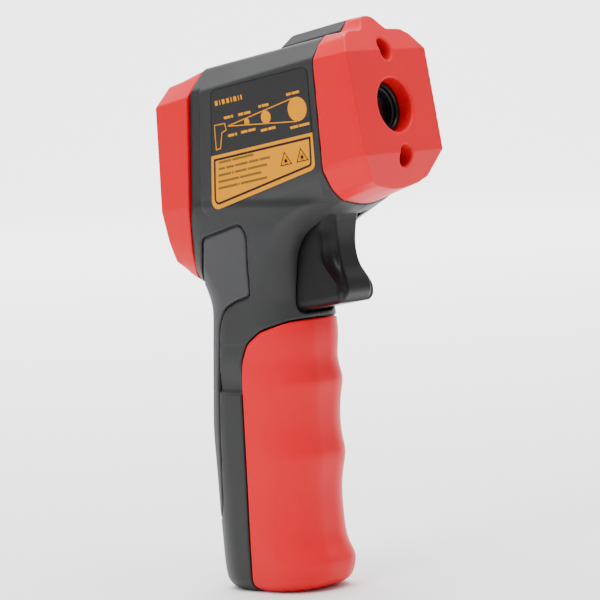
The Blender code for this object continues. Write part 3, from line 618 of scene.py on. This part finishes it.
# ---------------------------------------------------------------- materials
def look(name, colour, roughness, metallic=0.0, grain=0.0, grain_size=0.25, wear=0.05, tint=0.04, coat=0.0,
         specular=0.5):
    """A Principled material with a fine moulded grain, patches of different gloss and a faint mottle."""
    made = bpy.data.materials.new(name)
    made.use_nodes = True
    nodes, links = made.node_tree.nodes, made.node_tree.links
    shader = nodes["Principled BSDF"]
    shader.inputs["Metallic"].default_value = metallic
    shader.inputs["Specular IOR Level"].default_value = specular
    shader.inputs["Coat Weight"].default_value = coat
    shader.inputs["Coat Roughness"].default_value = 0.25
    place = nodes.new("ShaderNodeTexCoord")
    broad = nodes.new("ShaderNodeTexNoise")
    broad.inputs["Scale"].default_value = 45.0
    broad.inputs["Detail"].default_value = 5.0
    links.new(place.outputs["Object"], broad.inputs["Vector"])
    gloss = nodes.new("ShaderNodeMapRange")
    gloss.inputs["From Min"].default_value = 0.3
    gloss.inputs["From Max"].default_value = 0.7
    gloss.inputs["To Min"].default_value = max(roughness - wear, 0.02)
    gloss.inputs["To Max"].default_value = roughness + wear
    links.new(broad.outputs["Fac"], gloss.inputs["Value"])
    links.new(gloss.outputs["Result"], shader.inputs["Roughness"])
    mottle = nodes.new("ShaderNodeMix")
    mottle.data_type = "RGBA"
    for socket, factor in ((6, 1 - tint), (7, 1 + tint)):       # the colour sockets A and B
        mottle.inputs[socket].default_value = (*[min(c * factor, 1.0) for c in colour], 1.0)
    links.new(broad.outputs["Fac"], mottle.inputs[0])
    links.new(mottle.outputs[2], shader.inputs["Base Color"])
    if grain:
        fine = nodes.new("ShaderNodeTexNoise")
        fine.inputs["Scale"].default_value = 1.0 / (grain_size * MM)
        fine.inputs["Detail"].default_value = 3.0
        links.new(place.outputs["Object"], fine.inputs["Vector"])
        bump = nodes.new("ShaderNodeBump")
        bump.inputs["Strength"].default_value = grain
        bump.inputs["Distance"].default_value = grain_size * MM * 0.35
        links.new(fine.outputs["Fac"], bump.inputs["Height"])
        links.new(bump.outputs["Normal"], shader.inputs["Normal"])
    return made


RED = look("satin_red", (0.64, 0.0, 0.010), 0.40, grain=0.10, grain_size=0.30, wear=0.04, tint=0.02,
           specular=0.14)
DARK = look("matt_dark", (0.019, 0.0195, 0.0205), 0.50, grain=0.22, grain_size=0.22, wear=0.05, specular=0.3)
SOFT = look("soft_grey", (0.040, 0.040, 0.044), 0.62, grain=0.18, grain_size=0.18, wear=0.05, specular=0.35)
TRIGGER = look("satin_black", (0.0065, 0.0065, 0.007), 0.34, grain=0.05, grain_size=0.30, wear=0.03,
               specular=0.18)
FILM = look("dark_film", (0.017, 0.017, 0.018), 0.42, grain=0.04, wear=0.03, specular=0.25)
YELLOW = look("yellow_film", (0.66, 0.25, 0.0), 0.42, grain=0.04, wear=0.03, tint=0.03, specular=0.08)
GOLD = look("gold_ink", (0.66, 0.25, 0.0), 0.45, grain=0.04, specular=0.08)
INK = look("black_ink", (0.006, 0.006, 0.006), 0.45, grain=0.04, specular=0.2)
TEXT_INK = look("thin_black_ink", (0.16, 0.085, 0.012), 0.45, grain=0.04, specular=0.2)
BLACK = look("inner_black", (0.006, 0.006, 0.0065), 0.38, grain=0.15, specular=0.3)
LENS = look("lens_polymer", (0.006, 0.006, 0.008), 0.12, wear=0.03, coat=0.4)
STEEL = look("steel", (0.30, 0.30, 0.31), 0.34, metallic=1.0, grain=0.10, wear=0.08)
BOARD = look("solder_mask", (0.012, 0.12, 0.045), 0.42, grain=0.15, wear=0.06)
WINDOW_LOOK = look("tinted_window", (0.006, 0.007, 0.0065), 0.12, wear=0.03, coat=0.1, specular=0.25)
LCD = look("lcd", (0.36, 0.41, 0.30), 0.28, wear=0.04)
SEGMENT = look("lcd_segment", (0.02, 0.022, 0.02), 0.35)
KEY = look("key_rubber", (0.055, 0.055, 0.060), 0.60, grain=0.12, specular=0.3)
ICON = look("key_print", (0.80, 0.80, 0.80), 0.5)
JACKET = look("battery_jacket", (0.010, 0.014, 0.055), 0.38, grain=0.05, specular=0.3)
WIRE_RED = look("wire_red", (0.60, 0.03, 0.025), 0.48, grain=0.05)
WIRE_BLACK = look("wire_black", (0.02, 0.02, 0.02), 0.48, grain=0.05)

# ---------------------------------------------------------------- shells
SIDES = {"right": -1, "left": 1}

for word, side in SIDES.items():
    ys = (-22.5, 0.4) if side < 0 else (-0.4, 22.5)
    solid(f"shell_{word}", housing(side), (-36, ys[0], -0.5), (44, ys[1], 192), 0.55, DARK, "housing",
          "black_plastic", f"housing_{word}")
solid("door_shell", door_solid, (-5, -18, -0.5), (24, 18, 94), 0.5, RED,
    "door", "red_plastic", "battery_door")
solid("soft_inlay", inlay_solid, (-28, -21.5, 20), (8, 21.5, 126), 0.5, SOFT, "housing", "grey_rubber",
      "grip_inlay")
solid("nose_bezel", front_bezel, (36, -22.5, 126), (60, 22.5, 194), 0.5, RED, "housing", "red_plastic",
      "front_bezel")
solid("tail_bezel", rear_bezel, (-33, -22.5, 102), (-8, 22.5, 179), 0.5, RED, "housing", "red_plastic",
      "rear_bezel")
solid("finger_trigger", trigger, (8, -10, 92), (44, 10, 137), 0.32, TRIGGER, "trigger", "trigger_plastic",
      "trigger")


# ---------------------------------------------------------------- flat prints
def faces_out(mesh):
    bm = bmesh.new()
    bm.from_mesh(mesh)
    bmesh.ops.recalc_face_normals(bm, faces=bm.faces)
    bm.to_mesh(mesh)
    bm.free()


def prisms(name, lower, upper, look_, body="housing"):
    """Thin prisms, each between an outline and its copy further out."""
    verts, faces = [], []
    for first, last in zip(lower, upper):
        base, n = len(verts), len(first)
        verts += first + last
        faces.append([base + i for i in range(n)])
        faces.append([base + n + i for i in reversed(range(n))])
        faces += [[base + (i + 1) % n, base + i, base + n + i, base + n + (i + 1) % n] for i in range(n)]
    made = new_mesh(name, verts, faces, look=look_, smooth=False, body=body)
    faces_out(made.data)
    return made


def on_side(outline, y):
    """An outline of (x, z) in the head's frame, placed on a side of the head."""
    return [(X, y, Z) for X, Z in (from_nose(x, z) for x, z in outline)]


def circle(cx, cz, r, steps=48):
    angles = [2 * math.pi * i / steps for i in range(steps)]
    return [(cx + r * math.cos(a), cz + r * math.sin(a)) for a in angles]


def tuples(points):
    return [tuple(p) for p in points]


def stroke(a, b, width):
    """A straight bar from a to b."""
    (x0, z0), (x1, z1) = a, b
    length = math.hypot(x1 - x0, z1 - z0)
    nx, nz = -(z1 - z0) / length * width / 2, (x1 - x0) / length * width / 2
    return [(x0 + nx, z0 + nz), (x1 + nx, z1 + nz), (x1 - nx, z1 - nz), (x0 - nx, z0 - nz)]


def ring(outline, width):
    """Quads between an outline and its inset."""
    inner = inset(outline, width)
    n = len(outline)
    return [[outline[i], outline[(i + 1) % n], inner[(i + 1) % n], inner[i]] for i in range(n)]


def inset(outline, width):
    pts = [Vector(p) for p in outline]
    n = len(pts)
    area = sum(pts[i].x * pts[(i + 1) % n].y - pts[(i + 1) % n].x * pts[i].y for i in range(n))
    sign = 1 if area > 0 else -1
    out = []
    for i in range(n):
        a, b, c = pts[i - 1], pts[i], pts[(i + 1) % n]
        u, v = (b - a).normalized(), (c - b).normalized()
        nu, nv = Vector((-u.y, u.x)) * sign, Vector((-v.y, v.x)) * sign
        m = nu + nv
        out.append(tuple(b + m * (width / max(0.3, m.dot(nu)))))
    return out


def dashes(start, end, height, lengths, gap=0.45):
    """A row of word-like bars from start towards end."""
    (x0, z0), (x1, z1) = start, end
    total = math.hypot(x1 - x0, z1 - z0)
    ux, uz = (x1 - x0) / total, (z1 - z0) / total
    out, t = [], 0.0
    for length in lengths:
        out.append(stroke((x0 + ux * t, z0 + uz * t), (x0 + ux * (t + length), z0 + uz * (t + length)),
                          height))
        t += length + gap
    return out


# corners of the film, the height where the yellow panel starts, and each layer's depth and finish
LABEL = [(-58.6, 17.0, 2.0), (-67.0, -22.8, 2.6), (-19.9, -16.4, 2.4), (-16.2, 17.0, 2.4)]
PANEL_TOP = -4.6
LABEL_LAYERS = {"film": (-0.1, 0.12, FILM), "panel": (0.1, 0.15, YELLOW), "edge": (0.1, 0.135, INK),
                "text": (0.13, 0.16, TEXT_INK), "lines": (0.13, 0.17, INK), "diagram": (0.1, 0.16, GOLD)}
PANEL_ROWS = (((-60.3, -7.2), (5.6, 9.4)), ((-60.9, -9.3), (2.9, 3.6, 5.6, 4.4, 4.6)), ((-61.4, -11.4),
              (5.6, 0.9, 5.2, 8.6)), ((-61.9, -13.5), (9.2, 9.6)), ((-62.4, -15.6), (8.6, 0.6, 11.6)))
DIAGRAM_ROWS = (((-54.8, 6.9), (2.9, 0.8)), ((-48.4, 6.8), (2.2, 2.8)), ((-39.2, 7.8), (1.2, 2.8)),
                ((-26.7, 9.4), (2.0, 3.2)), ((-54.3, 0.8), (2.7, 0.9)), ((-48.5, 0.9), (2.8, 3.2)),
                ((-39.9, -0.1), (2.8, 3.2)), ((-27.3, -1.5), (3.4, 4.4)))
PISTOL = [(-59.6, 5.4), (-54.7, 5.3), (-54.6, 2.7), (-56.6, 2.2), (-58.4, -2.8), (-60.6, -3.0), (-60.0, 2.2)]


def edge_x(a, b, z):
    """Where the line through a and b is at height z."""
    return a[0] + (b[0] - a[0]) * (z - a[1]) / (b[1] - a[1])


def burst(cx):
    """A triangle with a dot and short rays in it."""
    rays = [stroke((cx, -11.7), (cx + 1.3 * math.cos(a), -11.7 + 1.3 * math.sin(a)), 0.13)
            for a in (0.5, 1.2, 1.94, 2.64, 3.6, 4.2, 5.2, 5.8)]
    triangle = ring([(cx - 2.7, -13.1), (cx + 2.6, -13.1), (cx - 0.05, -8.5)], 0.34)
    return triangle + [circle(cx, -11.7, 0.6, 20)] + rays


def panel_shapes():
    """The panel's outline, its ruled border with the two bursts, and its rows of bars."""
    (x1, z1, _), (x2, z2, _) = LABEL[1:3]
    left, right = edge_x(LABEL[0], LABEL[1], PANEL_TOP), edge_x(LABEL[3], LABEL[2], PANEL_TOP)
    panel = rounded([(left, PANEL_TOP, 0), (x1, z1, 2.6), (x2, z2, 2.4), (right, PANEL_TOP, 0)])
    border = rounded([(left + 0.9, PANEL_TOP - 1.1, 0), (x1 + 1.5, z1 + 1.6, 1.9), (x2 - 1.2, z2 + 1.2, 1.6),
                      (right - 1.0, PANEL_TOP - 1.1, 0)])
    ink = ring(tuples(border), 0.75) + burst(-31.65) + burst(-24.6)
    text = []
    for start, words in PANEL_ROWS:
        text += dashes(start, (start[0] + 10, start[1] + 0.02), 0.8, words)
    return [tuples(panel)], ink, text


def diagram_shapes():
    """A pistol outline, its widening cone of view, three spots, and bars where captions would be."""
    apex = (-53.9, 4.0)
    gold = [circle(-45.25, 3.9, 1.1), circle(-36.85, 3.9, 2.1), circle(-23.15, 4.0, 4.0)]
    gold += [stroke(apex, (-24.6, 7.8), 0.34), stroke(apex, (-24.2, 0.1), 0.34)]
    gold += ring(PISTOL, 0.3)
    gold += dashes((-57.6, 12.3), (-47.6, 12.3), 1.6, (1.2, 0.35, 1.2, 1.1, 0.5, 1.2, 0.35, 0.5), 0.8)
    for start, words in DIAGRAM_ROWS:
        gold += dashes(start, (start[0] + 10, start[1]), 0.85, words, 0.4)
    return gold


film = tuples(rounded(LABEL))
panel, ink, text = panel_shapes()
LABEL_SHAPES = {"film": [film], "panel": panel, "edge": ring(film, 0.32), "text": text, "lines": ink,
                "diagram": diagram_shapes()}
for word, side in SIDES.items():
    for part, shapes in LABEL_SHAPES.items():
        low, high, finish = LABEL_LAYERS[part]
        lower = [on_side(shape, side * (PAD_HALF + low)) for shape in shapes]
        upper = [on_side(shape, side * (PAD_HALF + high)) for shape in shapes]
        layer = prisms(f"label_{part}_{word}", lower, upper, finish)
        claim(layer, [f"label_{word}"] if part == "film" else [])


# ---------------------------------------------------------------- turned parts, window, keys and fasteners
def lathe(name, profile, look_, node, sides=96, z0=0.0):
    """A closed solid turned about the optical axis, or z0 above it, from (x, r) points."""
    verts, faces = [], []
    n = len(profile)
    for i in range(sides):
        a = 2 * math.pi * i / sides
        for x, r in profile:
            X, Z = from_nose(x, z0 + r * math.sin(a))
            verts.append((X, r * math.cos(a), Z))
    for i in range(sides):
        for j in range(n):
            k = (j + 1) % n
            a, b = i * n, (i + 1) % sides * n
            faces.append((a + j, b + j, b + k, a + k))
    made = new_mesh(name, verts, faces, look=look_)
    tidy(made)
    claim(made, [node])


def tidy(obj, angle=35):
    """Welds a turned solid on its axis and keeps its sharp edges sharp."""
    bm = bmesh.new()
    bm.from_mesh(obj.data)
    bmesh.ops.remove_doubles(bm, verts=bm.verts, dist=1e-6)
    bmesh.ops.dissolve_degenerate(bm, edges=bm.edges, dist=1e-7)
    bmesh.ops.recalc_face_normals(bm, faces=bm.faces)
    for edge in bm.edges:
        edge.smooth = len(edge.link_faces) == 2 and edge.calc_face_angle(0) < math.radians(angle)
    bm.to_mesh(obj.data)
    bm.free()
    obj.data.shade_smooth()


lathe("recess_ring", [(-4.9, 8.75), (-4.75, 8.55), (-4.75, 7.5), (-5.1, 7.2), (-6.2, 7.1), (-6.4, 6.6),
                      (-7.4, 6.5), (-8.2, 6.6), (-8.2, 8.75)], BLACK, "lens_ring")
lathe("optic", [(-7.2, 0.0), (-7.23, 1.2), (-7.35, 3.0), (-7.6, 4.6), (-7.9, 5.9), (-8.1, 6.45),
                (-10.6, 6.45), (-10.6, 0.0)], LENS, "ir_lens")
for word, (height, *_) in LASERS.items():
    lathe(f"laser_eye_{word}", [(-7.4, 0.0), (-7.4, 1.0), (-6.8, 1.3), (-6.8, 2.6), (-7.2, 3.05),
                                (-21.4, 3.05), (-21.4, 0.0)], BLACK,
                                f"laser_{word}", sides=48, z0=height)


def rounded_box(name, low, high, look_, body, radius, node):
    bm = bmesh.new()
    bmesh.ops.create_cube(bm, size=1.0)
    bmesh.ops.scale(bm, verts=bm.verts, vec=[b - a for a, b in zip(low, high)])
    bmesh.ops.translate(bm, verts=bm.verts, vec=[(a + b) / 2 for a, b in zip(low, high)])
    bmesh.ops.bevel(bm, geom=list(bm.edges), offset=radius, segments=3, affect="EDGES", profile=0.5,
                    clamp_overlap=True)
    bmesh.ops.translate(bm, verts=bm.verts, vec=(-CENTRE, 0, 0))
    bmesh.ops.scale(bm, verts=bm.verts, vec=(MM, MM, MM))
    mesh = bpy.data.meshes.new(name)
    bm.to_mesh(mesh)
    bm.free()
    mesh.shade_smooth()
    claim(add(name, mesh, look_, body), [node])


def rear_print(name, outlines, x0, x1, look_, body="housing", nodes=()):
    """Thin prisms on the rear face, from outlines of (y, z)."""
    lower = [[(x0, y, z) for y, z in outline] for outline in outlines]
    upper = [[(x1, y, z) for y, z in outline] for outline in outlines]
    claim(prisms(name, lower, upper, look_, body), nodes)


SEGMENTS = {"1": "bc", "2": "abged", "3": "abgcd", "4": "fgbc", "6": "afgedc"}


def digit(symbol, y, z, w, h, t):
    """Bars of a seven-segment digit. y runs to the device's right, as seen from behind."""
    bars = {"a": ((0.1, 1), (0.9, 1)), "b": ((1, 0.95), (1, 0.55)), "c": ((1, 0.45), (1, 0.05)),
            "d": ((0.1, 0), (0.9, 0)), "e": ((0, 0.45), (0, 0.05)), "f": ((0, 0.95), (0, 0.55)),
            "g": ((0.1, 0.5), (0.9, 0.5))}
    out = []
    for key in SEGMENTS[symbol]:
        (a, b), (c, d) = bars[key]
        out.append(stroke((y - a * w, z + b * h), (y - c * w, z + d * h), t))
    return out


# the lit area and its marks lie on the window's outer face, so that they show without looking through it
glass = rounded([(-14.6, 139.9, 1.8), (14.6, 139.9, 1.8), (14.6, 162.1, 1.8), (-14.6, 162.1, 1.8)])
screen = rounded([(-11.8, 142.6, 0.8), (11.8, 142.6, 0.8), (11.8, 159.4, 0.8), (-11.8, 159.4, 0.8)])
rear_print("window_pane", [tuples(glass)], REAR_X + 0.45, REAR_X + 2.2, WINDOW_LOOK,
           nodes=["display_window"])
rear_print("screen_area", [tuples(screen)], REAR_X + 0.40, REAR_X + 0.5, LCD)


def screen_marks():
    """A reading with its point, degree ring and unit, a battery sign, and a small reading above."""
    bars = []
    for symbol, y in (("2", 9.4), ("3", 3.6), ("6", -3.4)):
        bars += digit(symbol, y, 145.6, 3.9, 7.2, 0.85)
    bars.append(circle(-1.7, 145.5, 0.5, 16))
    bars += ring(circle(-9.3, 151.8, 0.75, 16), 0.3)
    bars += [stroke((-9.0, 148.6), (-10.9, 148.6), 0.4), stroke((-9.0, 145.6), (-10.9, 145.6), 0.4),
             stroke((-9.0, 148.7), (-9.0, 145.5), 0.4)]
    bars += ring([(9.6, 157.9), (6.2, 157.9), (6.2, 156.3), (9.6, 156.3)], 0.25)
    bars.append(stroke((9.1, 157.1), (7.4, 157.1), 0.7))
    for symbol, y in (("2", -3.4), ("4", -5.6), ("1", -7.8)):
        bars += digit(symbol, y, 155.6, 1.3, 2.3, 0.32)
    return bars


def chevron(y, up):
    """A mark on a key that points up, or down where up is -1."""
    tip, foot = (y, KEY_HEIGHT + 0.9 * up), KEY_HEIGHT - 0.6 * up
    return [stroke((y - 1.3, foot), tip, 0.4), stroke((y + 1.3, foot), tip, 0.4)]


rear_print("screen_marks", screen_marks(), REAR_X + 0.36, REAR_X + 0.42, SEGMENT)
for word, y in (("right", -KEY_PITCH), ("centre", 0.0), ("left", KEY_PITCH)):
    low, high = (REAR_X - 1.15, y - 3.95, KEY_HEIGHT - 3.35), (REAR_X + 3.6, y + 3.95, KEY_HEIGHT + 3.35)
    rounded_box(f"button_{word}", low, high, KEY, f"key_{word}", 1.1, f"key_{word}")
MARKS = {"right": chevron(-KEY_PITCH, -1), "left": chevron(KEY_PITCH, 1),
         "centre": ring(circle(0.0, KEY_HEIGHT, 1.4, 32), 0.35)}
for word, shapes in MARKS.items():
    rear_print(f"button_mark_{word}", shapes, REAR_X - 1.19, REAR_X - 1.05, ICON,
    f"key_{word}")


def turned_screw(name, px, pz, seat, sides=40):
    """A pan-head screw along y, with its seat at y = seat."""
    profile = [(0.0, seat + 1.7), (1.6, seat + 1.65), (2.3, seat + 1.3), (2.6, seat + 0.7), (2.6, seat),
               (1.3, seat), (1.3, -6.2), (0.6, -6.8), (0.0, -6.8)]
    verts, faces, n = [], [], len(profile)
    for i in range(sides):
        a = 2 * math.pi * i / sides
        verts += [(px + r * math.cos(a), y, pz + r * math.sin(a)) for r, y in profile]
    for i in range(sides):
        for j in range(n - 1):
            a, b = i * n, (i + 1) % sides * n
            faces.append((a + j, b + j, b + j + 1, a + j + 1))
    made = new_mesh(name, verts, faces, look=STEEL)
    tidy(made)
    return made


def cut_cross(screw, px, pz, top):
    """Cuts a cross recess into a screw's head."""
    cutter = bpy.data.meshes.new("cross")
    bm = bmesh.new()
    for w, d in ((3.4, 0.55), (0.55, 3.4)):
        block = bmesh.ops.create_cube(bm, size=1.0)["verts"]
        bmesh.ops.scale(bm, verts=block, vec=(w * MM, 1.6 * MM, d * MM))
    bmesh.ops.translate(bm, verts=bm.verts, vec=((px - CENTRE) * MM, top * MM, pz * MM))
    bm.to_mesh(cutter)
    bm.free()
    cross = bpy.data.objects.new("cross", cutter)
    bpy.context.scene.collection.objects.link(cross)
    modifier = screw.modifiers.new("cross", "BOOLEAN")
    modifier.operation = "DIFFERENCE"
    modifier.object = cross
    modifier.solver = "EXACT"
    modifier.use_self = True
    bpy.context.view_layer.update()
    cut = bpy.data.meshes.new_from_object(screw.evaluated_get(bpy.context.evaluated_depsgraph_get()))
    screw.modifiers.clear()
    screw.data = cut
    bpy.data.objects.remove(cross)


for name, (_, _, _, floor) in SCREWS.items():
    px, pz = screw_point(name)
    seat = floor + 0.3
    screw = turned_screw(f"fastener_{name}", px, pz, seat)
    cut_cross(screw, px, pz, seat + 1.8)
    claim(screw, [f"screw_{name}"])

# CAD nodes that stay as they are, inside the shells, with a finish of their own
KEPT = {"battery": JACKET, "battery_snap": BLACK, "battery_lead_red": WIRE_RED,
        "battery_lead_black": WIRE_BLACK, "buzzer": BLACK, "display_board": BOARD, "main_board": BOARD,
        "sensor_board": BOARD, "switch_board": BOARD, "door_hinge_pin": STEEL, "trigger_pin": STEEL,
        "trigger_spring": STEEL, "thermopile": STEEL, "keypad_mat": SOFT, "laser_carrier": BLACK,
        "lcd_module": LCD, "processor": BLACK, "sensor_barrel": BLACK, "switch_plunger": WIRE_RED,
        "trigger_switch": BLACK}
for node, finish in KEPT.items():
    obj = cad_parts[node]
    for slot in obj.material_slots:
        slot.material = finish


# ---------------------------------------------------------------- studio
# the camera's axes, and the level direction away from it
BACK = Vector((0.6363, -0.7678, 0.0739))
RIGHT = Vector((0.7714, 0.6342, -0.0517))
UP = Vector((-0.0073, 0.0899, 0.9958))
EYE = Vector((0.7071 - CENTRE * MM, -0.8402, 0.1786))
AIM = Vector((0.0, 0.0, 0.10))
AWAY = Vector((-0.638, 0.770, 0.0))
ACROSS = Vector((0.770, 0.638, 0.0))


def stage_mesh():
    """A pale floor that curves up into a backdrop behind the device."""
    floor_back, radius, height, half_width = 3.0, 1.5, 6.0, 8.0
    profile = [(-6.0, 0.0), (0.0, 0.0), (floor_back, 0.0)]
    profile += [(floor_back + radius * math.sin(a), radius * (1 - math.cos(a)))
                for a in (math.radians(d) for d in range(6, 91, 6))]
    profile.append((floor_back + radius, height))
    verts, faces = [], []
    for along, up in profile:
        for side in (-half_width, half_width):
            p = AWAY.normalized() * along + ACROSS.normalized() * side
            verts.append((p.x, p.y, up))
    for i in range(len(profile) - 1):
        faces.append((2 * i, 2 * i + 1, 2 * i + 3, 2 * i + 2))
    mesh = bpy.data.meshes.new("studio_sweep")
    mesh.from_pydata(verts, [], faces)
    mesh.update()
    mesh.shade_smooth()
    made = bpy.data.objects.new("studio_sweep", mesh)
    bpy.context.scene.collection.objects.link(made)
    mesh.materials.append(look("pale_paper", (0.90, 0.90, 0.90), 0.8, grain=0.02, grain_size=1.0, tint=0.005))


def area(name, place, target, size, power):
    data = bpy.data.lights.new(name, "AREA")
    data.shape = "RECTANGLE"
    data.size, data.size_y = size
    data.energy = power
    made = bpy.data.objects.new(name, data)
    made.location = place
    made.rotation_euler = (Vector(target) - Vector(place)).to_track_quat("-Z", "Y").to_euler()
    bpy.context.scene.collection.objects.link(made)


def studio(right, up, back):
    """A place in metres from the aim, along the camera's axes."""
    return AIM + RIGHT * right + UP * up + BACK * back


stage_mesh()
area("key", studio(-0.9, 0.75, 1.1), AIM, (0.35, 0.5), 10)
area("fill", studio(1.2, 0.3, 0.9), AIM, (1.0, 1.4), 2.5)
area("top", studio(-0.1, 1.6, 0.35), AIM, (1.4, 1.0), 40)
area("rim", studio(-0.8, 1.5, -0.5), AIM, (0.8, 1.0), 7)
area("rim_right", studio(1.2, 0.6, -0.7), AIM, (0.6, 1.4), 3)
area("backdrop", AWAY * 1.6 + Vector((0, 0, 2.6)), AWAY * 3.6 + Vector((0, 0, 0.6)), (3.0, 1.0), 380)

world = bpy.data.worlds.new("studio")
bpy.context.scene.world = world
world.use_nodes = True
world.node_tree.nodes["Background"].inputs["Color"].default_value = (1, 1, 1, 1)
world.node_tree.nodes["Background"].inputs["Strength"].default_value = 0.5

camera = bpy.data.cameras.new("camera")
camera.lens = 195.0
camera.sensor_width = 36.0
camera.clip_start, camera.clip_end = 0.01, 50.0
eye = bpy.data.objects.new("camera", camera)
turn = Matrix((RIGHT, UP, BACK)).transposed()
eye.matrix_world = Matrix.Translation(EYE) @ turn.to_4x4()
bpy.context.scene.collection.objects.link(eye)
bpy.context.scene.camera = eye

bpy.context.view_layer.update()
